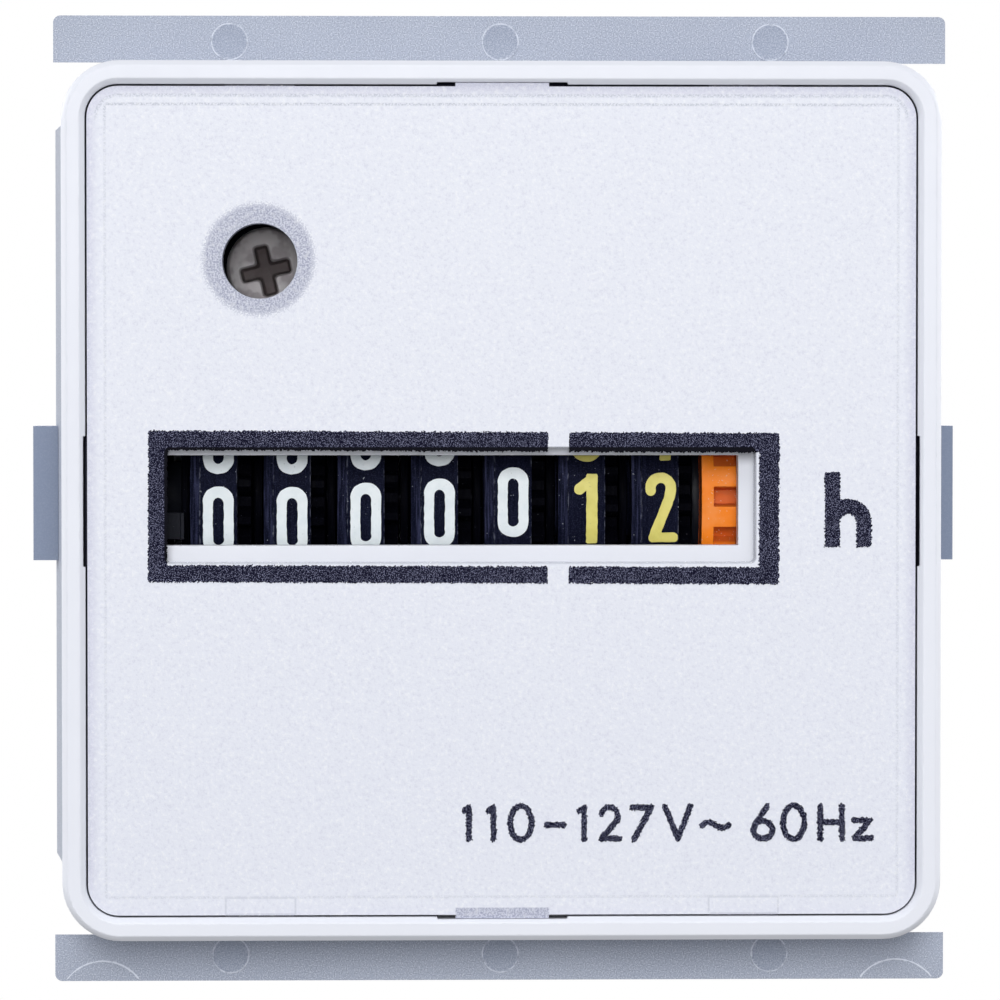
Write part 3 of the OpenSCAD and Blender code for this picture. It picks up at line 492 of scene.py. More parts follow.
@dataclass(frozen=True)
class FrostedPlate(Finish):
    """Clear plate with a frosted white face, painted shade along its border and round the screw hole, a
    polished window and a ring.
    """

    name: str
    face: Colour
    low_face: Colour
    border: Colour
    ring: Colour
    line: Colour
    sparkle: Colour
    outline: RoundBox
    window: RoundBox
    tabs: Tuple[RoundBox, ...]
    seam: RoundBox
    hole_r: float = 2.05
    ring_at: Point = (-13.27, 13.19)
    ring_r: float = 3.05
    border_w: float = 0.8
    border_low: Point = (-22.2, -20.0)
    face_fade: Point = (16.0, -20.0)
    seam_fade: Point = (20.5, 21.3)
    second_seam: float = 0.5
    lip_w: float = 0.16
    stop_x: Point = (2.6, 2.5)
    stop_z: Point = (-22.18, -22.26)
    side_y: Point = (-2.6, -2.5)

    def shade(self, g: Graph) -> Sockets:
        """Frosted grain over the face, with the painted shade of the border and the hole, the ring and the
        window masked in.
        """
        x, y, z = g.xyz()
        from_hole = (x - SCREW_AT[0]).hypot(z - SCREW_AT[1])
        from_ring = (x - self.ring_at[0]).hypot(z - self.ring_at[1])
        grain = g.noise(5.5, 2.0, None, 0.65)
        fleck = g.noise(11.0, 0.0).step(0.3, 0.7)
        cloud = g.noise(0.09, 1.0)
        edge = g.round_box(x, z, self.outline)
        # Painted shade along the plate's border, weaker at the bottom, as the rim would cast it
        shaded = edge.step(-self.border_w, 0.1) * (0.3 + z.step(*self.border_low) * 0.7)
        above = z.step(*self.seam_fade)
        seam = abs(g.round_box(x, z, self.seam)).step(0.12, 0.03) * fleck * (0.6 + above * 0.6)
        seam = seam.most(abs(edge + self.second_seam).step(0.14, 0.04) * fleck * above)
        for tab in self.tabs:
            seam = seam.most(abs(g.round_box(x, z, tab)).step(0.08, 0.02) * 0.6)
        # Unprinted ring round the screw hole; its grey is painted shade of the case seen through the clear
        # plastic
        halo = (from_ring + (fleck - 0.5) * 0.3).step(self.ring_r + 0.12, self.ring_r - 0.12)
        # Painted shade on the wall of the screw hole
        wall = from_hole.step(self.hole_r + 0.05, self.hole_r + 0.01)
        pane = g.round_box(x, z, self.window)
        clear = pane.step(0.02, -0.02)
        rim = abs(pane).step(0.07, 0.02)
        # Painted shade as a dark arc along the upper edge of the screw hole
        upper = (z - x - SCREW_AT[1] + SCREW_AT[0]).step(0.3, 1.6)
        lip = abs(from_hole - self.hole_r - self.lip_w).step(0.05, 0.015) * upper
        stop = abs(x).step(*self.stop_x) * z.step(*self.stop_z)
        colour = g.layers(
            self.face,
            (self.low_face, z.step(*self.face_fade) * 0.7 + cloud * 0.3),
            # Painted shade along the border
            (self.border, shaded * (0.6 + fleck * 0.5)),
            (self.line, seam * 0.6),
            (self.ring, halo * (0.35 + fleck * 0.65)),
            # Real edge line round the window, with painted shade on the hole's wall and upper edge
            (self.line, (rim * 0.5).most(wall * 0.7).most(lip * 0.8)),
            (self.ring, stop * (0.4 + fleck * 0.6)),
            # Painted shade on the sides of the plate in the gap to the case
            (GAP_SHADE, edge.step(-0.04, -0.015) * y.step(*self.side_y) * 0.8),
            (self.sparkle, grain.step(0.52, 0.75) * 0.4),
            (self.border, grain.step(0.48, 0.25) * 0.4),
        )
        frosted = 1.0 - clear
        return {"Base Color": colour, "Roughness": 0.08 + frosted * (0.5 + grain * 0.1),
                "Alpha": 1.0 - clear * (1.0 - rim * 0.3), "Specular IOR Level": 0.35,
                "Height": grain * frosted * 0.02}


@dataclass(frozen=True)
class PrintedInk(Finish):
    """Screen-printed ink seen through a frosted face, solid black over the polished window."""

    name: str
    dark: Colour
    pale: Colour
    solid: Colour
    window: RoundBox

    def shade(self, g: Graph) -> Sockets:
        """Pale grain over dark ink, left off over the window."""
        x, _, z = g.xyz()
        pane = g.round_box(x, z, self.window).step(0.02, -0.04)
        fine = g.noise(19.0, 0.0)
        cloud = g.noise(1.2, 2.0)
        specks = fine.step(0.55, 0.68) * (0.4 + cloud * 0.9) * (1.0 - pane)
        colour = g.layers(self.dark, (self.pale, specks), (self.solid, pane))
        return {"Base Color": colour, "Roughness": 0.6 + fine * 0.2, "Specular IOR Level": 0.06,
                "Height": fine * (1.0 - pane) * 0.01}


@dataclass(frozen=True)
class PaintedDigit(Finish):
    """Stamped paint on the drums, a little uneven."""

    name: str
    colour: Colour
    tint: Colour

    def shade(self, g: Graph) -> Sockets:
        """Uneven film with small pits."""
        film = g.noise(1.4, 3.0)
        pits = g.noise(9.0, 1.0).step(0.7, 0.78)
        colour = g.layers(self.colour, (self.tint, film.step(0.35, 0.75)), (DARK_SPECK, pits * 0.25))
        return {"Base Color": colour, "Roughness": 0.45 + film * 0.2, "Height": film * 0.006 - pits * 0.006}


@dataclass(frozen=True)
class WorkedMetal(Finish):
    """Metal with the lay of its rolling or turning, tarnish and handling marks."""

    name: str
    colour: Colour
    tarnish: Colour
    roughness: float
    lay: Axis
    wear: float = 0.4

    def shade(self, g: Graph) -> Sockets:
        """Streaks along the lay, clouds of tarnish and dull spots."""
        streaks = g.noise(7.0, 3.0, self.lay.value)
        cloud = g.noise(0.35, 4.0)
        spots = g.noise(2.6, 2.0).step(0.58, 0.75)
        share = cloud.step(0.4, 0.75) * self.wear + streaks * 0.2 + spots * 0.2
        colour = g.mix(self.colour, self.tarnish, share)
        rough = self.roughness + streaks * 0.14 + spots * 0.2 + (cloud - 0.5) * 0.2
        return {"Base Color": colour, "Metallic": 1.0 - spots * 0.25, "Roughness": rough,
                "Height": streaks * 0.004 - spots * 0.003}


@dataclass(frozen=True)
class WoundWire(Finish):
    """Enamelled wire in close turns round the motor axis."""

    name: str
    colour: Colour
    groove: Colour
    pitch: float

    def shade(self, g: Graph) -> Sockets:
        """Rounded turns side by side, with a wavering lay and painted shade in the grooves between them."""
        x, _, _ = g.xyz()
        waver = g.noise(0.5, 2.0) * 0.3
        turn = ((x + waver) * (2.0 * math.pi / self.pitch)).sine() * 0.5 + 0.5
        sheen = g.noise(1.1, 3.0)
        # Painted shade: the groove colour darkens the creases between the turns
        colour = g.mix(self.groove, self.colour, turn.step(0.05, 0.6) * (0.7 + sheen * 0.4))
        rough = 0.28 + sheen * 0.2 + (1.0 - turn) * 0.2
        return {"Base Color": colour, "Metallic": 0.75, "Roughness": rough,
                "Height": turn * (self.pitch * 0.3)}


@dataclass(frozen=True)
class PressedFerrite(Finish):
    """Pressed magnet, matte and pitted."""

    name: str
    colour: Colour
    pit: Colour
    scuffed: Colour

    def shade(self, g: Graph) -> Sockets:
        """Fine powder grain with small pits and scuffs along the axis."""
        powder = g.noise(9.0, 3.0)
        pits = g.noise(2.2, 2.0).step(0.62, 0.72)
        scuff = g.noise(3.0, 2.0, Axis.X.value).step(0.55, 0.8)
        colour = g.layers(self.colour, (self.pit, pits), (self.scuffed, scuff * 0.25 + powder * 0.1))
        return {"Base Color": colour, "Roughness": 0.6 + powder * 0.2, "Metallic": 0.15,
                "Height": powder * 0.008 - pits * 0.03}


@dataclass(frozen=True)
class WornScrewSteel(Finish):
    """Phosphated screw head that a driver has rubbed bright."""

    name: str
    coat: Colour
    bright: Colour
    dull: Colour
    pit: Colour
    recess_y: float = 11.75
    recess_d: float = 0.45
    recess_r: Point = (1.75, 1.6)

    def shade(self, g: Graph) -> Sockets:
        """Dull coat, rubbed patches, dark floor of the cross and fine scratches."""
        x, y, z = g.xyz()
        blotch = g.noise(1.1, 4.0)
        scratch = g.noise(6.0, 2.0, (1.0, 1.0, 0.2)).step(0.55, 0.8)
        rubbed = blotch.step(0.45, 0.7) * 0.75 + scratch * 0.35
        radius = (x - SCREW_AT[0]).hypot(z - SCREW_AT[1])
        floor = y.step(self.recess_y, self.recess_y + self.recess_d) * radius.step(*self.recess_r)
        colour = g.layers(
            self.coat,
            (self.bright, rubbed),
            (self.dull, g.noise(0.9, 2.0).step(0.52, 0.36) * 0.5),
            (self.pit, floor * 0.9),
        )
        rough = 0.5 - rubbed * 0.18 + floor * 0.2
        return {"Base Color": colour, "Metallic": 0.08 - floor * 0.08, "Roughness": rough,
                "Height": scratch * 0.006 + blotch * 0.03}


PLATE_BOX = RoundBox(0.0, 0.0, 22.6, 22.6, 1.7)
WINDOW_BOX = RoundBox(-2.275, -0.205, 16.145, 3.175, 0.3)
SEAM_BOX = RoundBox(0.0, 0.0, 21.62, 21.62, 0.15)
TAB_BOXES = tuple(RoundBox(x, -22.1, 1.9, 0.45, 0.05) for x in (-13.2, 13.2))

WHITE_CASE = CasePlastic("white_case", (0.82, 0.843, 0.917), (0.79, 0.812, 0.888), 0.42, Grain.POLISHED,
                         specular=0.3)
WHITE_BASE = MouldedPlastic("white_base", (0.77, 0.79, 0.84), (0.72, 0.74, 0.80), 0.45, Grain.SPARK)
GREY_CLAMP = ClampPlastic("grey_clamp", (0.41, 0.452, 0.555), (0.365, 0.405, 0.508), 0.5, Grain.SATIN,
                          specular=0.2, fleck=0.5)
# Painted highlight: a pale colour for raised arcs, standing in for light on their ridges
RIDGE_GLINT = MouldedPlastic("ridge_glint", (0.72, 0.76, 0.85), (0.62, 0.66, 0.76), 0.45, Grain.SATIN)
BLACK_CHASSIS = MouldedPlastic("black_chassis", (0.006, 0.007, 0.011), (0.012, 0.013, 0.019), 0.5,
                               Grain.SATIN, 0.09, (0.35, 0.37, 0.42), 0.08)
BLACK_DRUM = DrumPlastic("black_drum", (0.004, 0.005, 0.014), (0.05, 0.055, 0.115), (0.5, 0.54, 0.62),
                         (0.001, 0.001, 0.002), 1.0256, 0.549)
ORANGE_WHEEL = SignalWheel("orange_wheel", (0.97, 0.245, 0.012), (0.98, 0.35, 0.10), (0.58, 0.10, 0.02),
                           (0.9, 0.75, 0.6), (0.004, 0.005, 0.009), 11.145, 7.15)
PALE_PINION = MouldedPlastic("pale_pinion", (0.62, 0.60, 0.54), (0.54, 0.52, 0.47), 0.42, Grain.SATIN)
BLACK_PINION = MouldedPlastic("black_pinion", (0.012, 0.013, 0.016), (0.02, 0.021, 0.026), 0.5, Grain.SATIN,
                              specular=0.15)
PALE_GEAR = MouldedPlastic("pale_gear", (0.70, 0.69, 0.64), (0.61, 0.60, 0.56), 0.4, Grain.SATIN)
BOBBIN = MouldedPlastic("bobbin", (0.66, 0.63, 0.52), (0.56, 0.53, 0.43), 0.5, Grain.SATIN)
BLUE_SLEEVE = MouldedPlastic("blue_sleeve", (0.05, 0.12, 0.32), (0.04, 0.09, 0.25), 0.45, Grain.SATIN)
BROWN_SLEEVE = MouldedPlastic("brown_sleeve", (0.16, 0.07, 0.035), (0.11, 0.05, 0.025), 0.45, Grain.SATIN)
FROSTED_FACE = FrostedPlate("frosted_face", (0.80, 0.824, 0.905), (0.77, 0.795, 0.885), (0.60, 0.61, 0.73),
                            (0.33, 0.35, 0.47), (0.42, 0.45, 0.53), (0.97, 0.98, 1.0), PLATE_BOX,
                            WINDOW_BOX, TAB_BOXES, SEAM_BOX)
NAVY_INK = PrintedInk("navy_ink", (0.003, 0.003, 0.014), (0.23, 0.24, 0.36), (0.003, 0.003, 0.006),
                      WINDOW_BOX)
WHITE_DIGIT = PaintedDigit("white_digit", (0.86, 0.92, 0.95), (0.79, 0.86, 0.90))
YELLOW_DIGIT = PaintedDigit("yellow_digit", (0.78, 0.71, 0.20), (0.70, 0.63, 0.15))
SHAFT_STEEL = WorkedMetal("shaft_steel", (0.62, 0.62, 0.63), (0.40, 0.39, 0.38), 0.2, Axis.ROUND_X)
BLUED_STEEL = WorkedMetal("blued_steel", (0.05, 0.052, 0.065), (0.025, 0.024, 0.028), 0.45, Axis.ROUND_X)
SCREW_STEEL = WorkedMetal("screw_steel", (0.58, 0.56, 0.52), (0.34, 0.31, 0.27), 0.28, Axis.Y)
STATOR_STEEL = WorkedMetal("stator_steel", (0.60, 0.60, 0.58), (0.42, 0.41, 0.37), 0.34, Axis.X)
PLATE_BRASS = WorkedMetal("plate_brass", (0.72, 0.53, 0.24), (0.48, 0.33, 0.14), 0.26, Axis.Z)
BLADE_BRASS = WorkedMetal("blade_brass", (0.76, 0.65, 0.40), (0.55, 0.45, 0.26), 0.26, Axis.Y)
COIL_WIRE = WoundWire("coil_wire", (0.60, 0.23, 0.08), (0.16, 0.05, 0.02), 0.16)
FERRITE = PressedFerrite("ferrite", (0.055, 0.055, 0.06), (0.025, 0.025, 0.028), (0.22, 0.22, 0.24))
WORN_STEEL = WornScrewSteel("worn_steel", (0.94, 0.89, 0.92), (1.0, 0.98, 1.0), (0.38, 0.33, 0.36),
                            (0.10, 0.075, 0.075))


# Start of an empty contour, and the share of a grid edge that a crossing keeps from its ends
FAR = 1e3
EDGE_END = 0.02


class Contour:
    """Outline of a flat shape, kept as a signed distance on a grid and negative inside."""

    def __init__(self, low: Point, high: Point, cell: float) -> None:
        """Lay an empty grid over a rectangle.

        Args:
            low: lower left corner.
            high: upper right corner.
            cell: spacing of the grid.
        """
        us = np.arange(low[0], high[0] + cell, cell)
        vs = np.arange(low[1], high[1] + cell, cell)
        self.u, self.v = np.meshgrid(us, vs)
        self.cell = cell
        self.d = np.full(self.u.shape, FAR)

    def add_box(self, box: RoundBox) -> "Contour":
        """Join a rounded rectangle to the shape."""
        self.d = np.minimum(self.d, box.distance(self.u, self.v))
        return self

    def cut_box(self, box: RoundBox) -> "Contour":
        """Cut a rounded rectangle out of the shape."""
        self.d = np.maximum(self.d, -box.distance(self.u, self.v))
        return self

    def keep_box(self, box: RoundBox) -> "Contour":
        """Keep what lies in a rounded rectangle."""
        self.d = np.maximum(self.d, box.distance(self.u, self.v))
        return self

    def add_stroke(self, points: Sequence[Point], half: float) -> "Contour":
        """Join a stroke along a row of points.

        Args:
            points: corners of the stroke's middle line.
            half: half of the stroke's width.

        Returns:
            This contour.
        """
        for (au, av), (bu, bv) in zip(points, points[1:]):
            du, dv = bu - au, bv - av
            length = max(du * du + dv * dv, 1e-9)
            at = np.clip(((self.u - au) * du + (self.v - av) * dv) / length, 0, 1)
            away = np.hypot(self.u - au - at * du, self.v - av - at * dv)
            self.d = np.minimum(self.d, away - half)
        return self

    def roughen(self, amount: float, size: float, seed: int) -> "Contour":
        """Make the edge uneven.

        Args:
            amount: largest shift of the edge.
            size: spacing of the unevenness.
            seed: start of the random draws.

        Returns:
            This contour.
        """
        draws = np.random.default_rng(seed)
        rows, cols = (int(n * self.cell / size) + 3 for n in self.u.shape)
        knots = draws.uniform(-1, 1, (rows, cols))
        r = (self.v - self.v.min()) / size
        c = (self.u - self.u.min()) / size
        r0, c0 = r.astype(int), c.astype(int)
        fr, fc = r - r0, c - c0
        top = knots[r0, c0] * (1 - fc) + knots[r0, c0 + 1] * fc
        low = knots[r0 + 1, c0] * (1 - fc) + knots[r0 + 1, c0 + 1] * fc
        self.d = self.d + amount * (top * (1 - fr) + low * fr)
        return self

    def polygons(self) -> Polygons:
        """Fill the inside with small polygons.

        Returns:
            The flat points, and the polygons as point numbers, counter-clockwise.
        """
        inside = self.d <= 0
        points: List[Point] = []
        known: Dict[Tuple[int, int, int, int], int] = {}
        faces: List[Face] = []

        def number(r: int, c: int, r2: int, c2: int) -> int:
            """Return the number of a corner, or of the crossing on a grid edge."""
            key = (r, c, r2, c2) if (r, c) <= (r2, c2) else (r2, c2, r, c)
            if key not in known:
                a, b = self.d[r, c], self.d[r2, c2]
                t = 0.0 if (r, c) == (r2, c2) else min(max(a / (a - b), EDGE_END), 1 - EDGE_END)
                known[key] = len(points)
                points.append((self.u[r, c] + t * (self.u[r2, c2] - self.u[r, c]),
                               self.v[r, c] + t * (self.v[r2, c2] - self.v[r, c])))
            return known[key]

        touched = inside[:-1, :-1] | inside[1:, :-1] | inside[:-1, 1:] | inside[1:, 1:]
        for r, c in zip(*np.nonzero(touched)):
            ring = ((r, c), (r, c + 1), (r + 1, c + 1), (r + 1, c))
            face: List[int] = []
            for k in range(4):
                a, b = ring[k], ring[(k + 1) % 4]
                if inside[a]:
                    face.append(number(*a, *a))
                if inside[a] != inside[b]:
                    face.append(number(*a, *b))
            if len(face) > 2:
                faces.append(tuple(face))
        return np.array(points), faces


class Skin:
    """Points and faces of one mesh, in millimetres."""

    def __init__(self) -> None:
        """Start with no points."""
        self.points: List[np.ndarray] = []
        self.faces: List[Face] = []
        self.count = 0

    def add(self, points: np.ndarray, faces: Sequence[Sequence[int]]) -> None:
        """Join more points, and the faces on them."""
        self.faces += [tuple(i + self.count for i in face) for face in faces]
        self.points.append(np.asarray(points, float))
        self.count += len(points)

    def film(self, flat: np.ndarray, faces: List[Face], place: Place, back: float,
             front: float) -> None:
        """Join a closed film over flat polygons.

        Args:
            flat: flat points.
            faces: polygons on them, counter-clockwise.
            place: puts flat points at a height into space.
            back: height of the back.
            front: height of the front.
        """
        n = len(flat)
        points = np.vstack([place(flat[:, 0], flat[:, 1], h) for h in (front, back)])
        edges: Dict[Tuple[int, int], bool] = {}
        for face in faces:
            for a, b in zip(face, face[1:] + face[:1]):
                if (b, a) in edges:
                    del edges[(b, a)]
                else:
                    edges[(a, b)] = True
        backs = [tuple(i + n for i in reversed(face)) for face in faces]
        sides = [(b, a, a + n, b + n) for a, b in edges]
        self.add(points, [*faces, *backs, *sides])

    def shell(self, first: Triple, rings: Sequence[np.ndarray], last: Triple) -> None:
        """Join a closed form of rings between two end points.

        Args:
            first: end point before the first ring.
            rings: rings of points, all of one length.
            last: end point after the last ring.
        """
        turns = len(rings[0])
        end = 1 + len(rings) * turns
        faces: List[Face] = []
        for k in range(turns):
            j = (k + 1) % turns
            faces.append((0, 1 + k, 1 + j))
            for a in range(1, end - turns, turns):
                faces.append((a + k, a + turns + k, a + turns + j, a + j))
            faces.append((end, end - turns + j, end - turns + k))
        self.add(np.vstack([first, *rings, last]), faces)

    def piece(self, name: str, finish: Finish, body: str, slot: str, replaced: Optional[str] = None,
              sharp: float = 35.0) -> None:
        """Make the mesh an object that rides on a body.

        Args:
            name: name of the piece.
            finish: its finish.
            body: the CAD body that carries it.
            slot: material slot of the record; not used.
            replaced: CAD node that it stands for.
            sharp: angle in degrees above which an edge stays sharp.
        """
        mesh = bpy.data.meshes.new(name)
        mesh.from_pydata((np.vstack(self.points) * MM).tolist(), [], self.faces)
        mesh.validate()
        mesh.polygons.foreach_set("use_smooth", [True] * len(mesh.polygons))
        mesh.set_sharp_from_angle(angle=math.radians(sharp))
        mesh.materials.append(finish.material())
        made = bpy.data.objects.new(name, mesh)
        bpy.context.scene.collection.objects.link(made)
        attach(made, body)
        if replaced:
            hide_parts(replaced)
        log.info("piece %s: %d faces on %s", name, len(mesh.polygons), body)


def arc(centre: Point, radius: Point, start: float, end: float, steps: int = 14) -> List[Point]:
    """Return points on an elliptic arc, with angles in degrees."""
    angles = np.radians(np.linspace(start, end, steps))
    return [(centre[0] + radius[0] * math.cos(a), centre[1] + radius[1] * math.sin(a)) for a in angles]


def circle(radius: float, turns: int) -> Tuple[np.ndarray, np.ndarray]:
    """Return flat points round the origin, as two rows of values."""
    angles = np.linspace(0, 2 * np.pi, turns, endpoint=False)
    return radius * np.cos(angles), radius * np.sin(angles)


def facing(front: float, at: Point = (0.0, 0.0), lean: float = 0.0) -> Place:
    """Make the placing of flat points on a face that looks forward.

    Args:
        front: Y of the face.
        at: where the flat origin lies on the face.
        lean: turn of the flat points in degrees.

    Returns:
        The placing, whose heights rise from the face.
    """
    cosine, sine = math.cos(math.radians(lean)), math.sin(math.radians(lean))

    def lay(u: np.ndarray, v: np.ndarray, h: float) -> np.ndarray:
        """Lay flat points on the face."""
        across, along = u * cosine - v * sine, u * sine + v * cosine
        return np.column_stack([across + at[0], np.zeros_like(u) + (front - h), along + at[1]])

    return lay


@dataclass(frozen=True)
class CadPart:
    """A CAD node that keeps its shape and takes a finish."""

    node: str
    finish: Finish
    edge: float = 0.0
    inset: float = 0.0
    weld: float = 1e-6
    flat_angle: float = 0.5
    soft_angle: float = 32.0

    def dress(self) -> None:
        """Give the node its material and soften its edges."""
        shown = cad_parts[self.node]
        shown.data.materials.clear()
        shown.data.materials.append(self.finish.material())
        if self.edge:
            shown.modifiers.new("weld", "WELD").merge_threshold = self.weld
            flat = shown.modifiers.new("flat", "DECIMATE")
            flat.decimate_type = "DISSOLVE"
            flat.angle_limit = math.radians(self.flat_angle)
            soft = shown.modifiers.new("soft", "BEVEL")
            soft.limit_method = "ANGLE"
            soft.angle_limit = math.radians(self.soft_angle)
            soft.width = self.edge * MM
            soft.segments = 2
            soft.use_clamp_overlap = True
            soft.harden_normals = True
            shown.modifiers.new("normals", "WEIGHTED_NORMAL").keep_sharp = True
        if self.inset:
            shrink = shown.modifiers.new("shrink", "DISPLACE")
            shrink.mid_level = 0.0
            shrink.strength = -self.inset * MM
        log.info("dressed %s in %s", self.node, self.finish.name)


def alike(finish: Finish, edge: float, *nodes: str) -> Tuple[CadPart, ...]:
    """Return CAD parts that share a finish and the softness of their edges."""
    return tuple(CadPart(node, finish, edge) for node in nodes)


@dataclass(frozen=True)
class DigitFont:
    """Narrow counter numerals, drawn as strokes about their centre."""

    half_stroke: float = 0.285
    half_w: float = 0.57
    half_h: float = 1.675
    cell: float = 0.085
    page: Point = (1.05, 2.05)
    limit: RoundBox = RoundBox(0.0, 0.0, 0.98, 1.94, 0.05)
    zero: RoundBox = RoundBox(0.0, 0.0, 0.845, 1.94, 0.8)
    zero_eye: RoundBox = RoundBox(0.0, -0.025, 0.3, 1.325, 0.29)
    one_stem: RoundBox = RoundBox(0.29, 0.0, 0.31, 1.94, 0.08)
    one_flag: Tuple[Point, Point] = ((0.27, 1.64), (-0.40, 1.10))
    one_half: float = 0.3
    uneven: float = 0.022
    uneven_size: float = 0.2
    first_seed: int = 40
    _known: ClassVar[Dict[int, Polygons]] = {}

    def strokes(self, digit: int) -> List[List[Point]]:
        """Return the middle lines of the strokes of a numeral from 2 to 9."""
        w, h = self.half_w, self.half_h
        top, low = (0.0, h - w), (0.0, w - h)
        bow = (w, w)
        six = [(w, h - w - 0.3)] + arc(top, bow, 0, 180) + arc(low, bow, 180, 360)
        six += arc((0.0, -0.15), bow, 0, 180)
        table: Dict[int, List[List[Point]]] = {
            2: [arc((0.03, h - w), bow, 195, -12) + [(0.50, 0.55), (-0.36, -h), (0.75, -h)]],
            3: [arc(top, bow, 170, -55) + [(0.05, 0.12)], [(0.05, 0.12)] + arc(low, bow, 60, -170)],
            4: [[(0.22, h), (-0.6, -0.8), (0.68, -0.8)], [(0.3, 0.2), (0.3, -h)]],
            5: [[(0.55, h), (-0.45, h), (-0.52, 0.3)] + arc((0.0, 0.0), bow, 145, 0)
                + arc(low, bow, 0, -165)],
            6: [six],
            7: [[(-0.6, h), (0.6, h), (-0.15, -h)]],
            8: [arc((0.0, 0.85), (w * 0.93, 0.78), 0, 360, 28), arc((0.0, -0.8), (w, 0.83), 0, 360, 28)],
            9: [[(-u, -v) for u, v in six]],
        }
        return table[digit]

    def film(self, digit: int) -> Polygons:
        """Return the flat polygons of a numeral, drawn once."""
        if digit not in self._known:
            flat = Contour((-self.page[0], -self.page[1]), self.page, self.cell)
            if digit == 0:
                flat.add_box(self.zero).cut_box(self.zero_eye)
            elif digit == 1:
                flat.add_box(self.one_stem).add_stroke(self.one_flag, self.one_half)
            else:
                for line in self.strokes(digit):
                    flat.add_stroke(line, self.half_stroke)
            flat.keep_box(self.limit).roughen(self.uneven, self.uneven_size, self.first_seed + digit)
            self._known[digit] = flat.polygons()
        return self._known[digit]


class DigitColour(Enum):
    """Paint of a drum's numerals."""

    WHITE = WHITE_DIGIT
    YELLOW = YELLOW_DIGIT


@dataclass(frozen=True)
class DigitDrum:
    """A number drum of the counter with its ten painted numerals."""

    place: str
    index: int
    shown: int
    lowered: float
    paint: DigitColour
    radius: float = 7.3
    film_t: float = 0.03
    sunk: float = 0.02
    digits: int = 10

    def round_drum(self, angle: float) -> Place:
        """Make the placing of flat points round the drum.

        Args:
            angle: turn of the flat origin in radians, from the front upwards.

        Returns:
            The placing, whose heights rise from the drum.
        """
        middle = DRUM_FIRST_X + self.index * DRUM_PITCH

        def wrap(u: np.ndarray, v: np.ndarray, h: float) -> np.ndarray:
            """Wrap flat points round the drum."""
            turned = angle + v / self.radius
            r = self.radius + h
            return np.column_stack([middle + u, DRUM_AXIS_Y - r * np.cos(turned), r * np.sin(turned)])

        return wrap

    def build(self) -> None:
        """Dress the drum and wrap its numerals round it."""
        CadPart(f"drum_{self.place}", BLACK_DRUM, 0.06).dress()
        font, skin = DigitFont(), Skin()
        for step in range(self.digits):
            place = self.round_drum(math.radians(-self.lowered - 360.0 / self.digits * step))
            skin.film(*font.film((self.shown + step) % self.digits), place, -self.sunk, self.film_t)
        skin.piece(f"numerals_{self.place}", self.paint.value, f"drum_{self.place}", "drum_plastic")


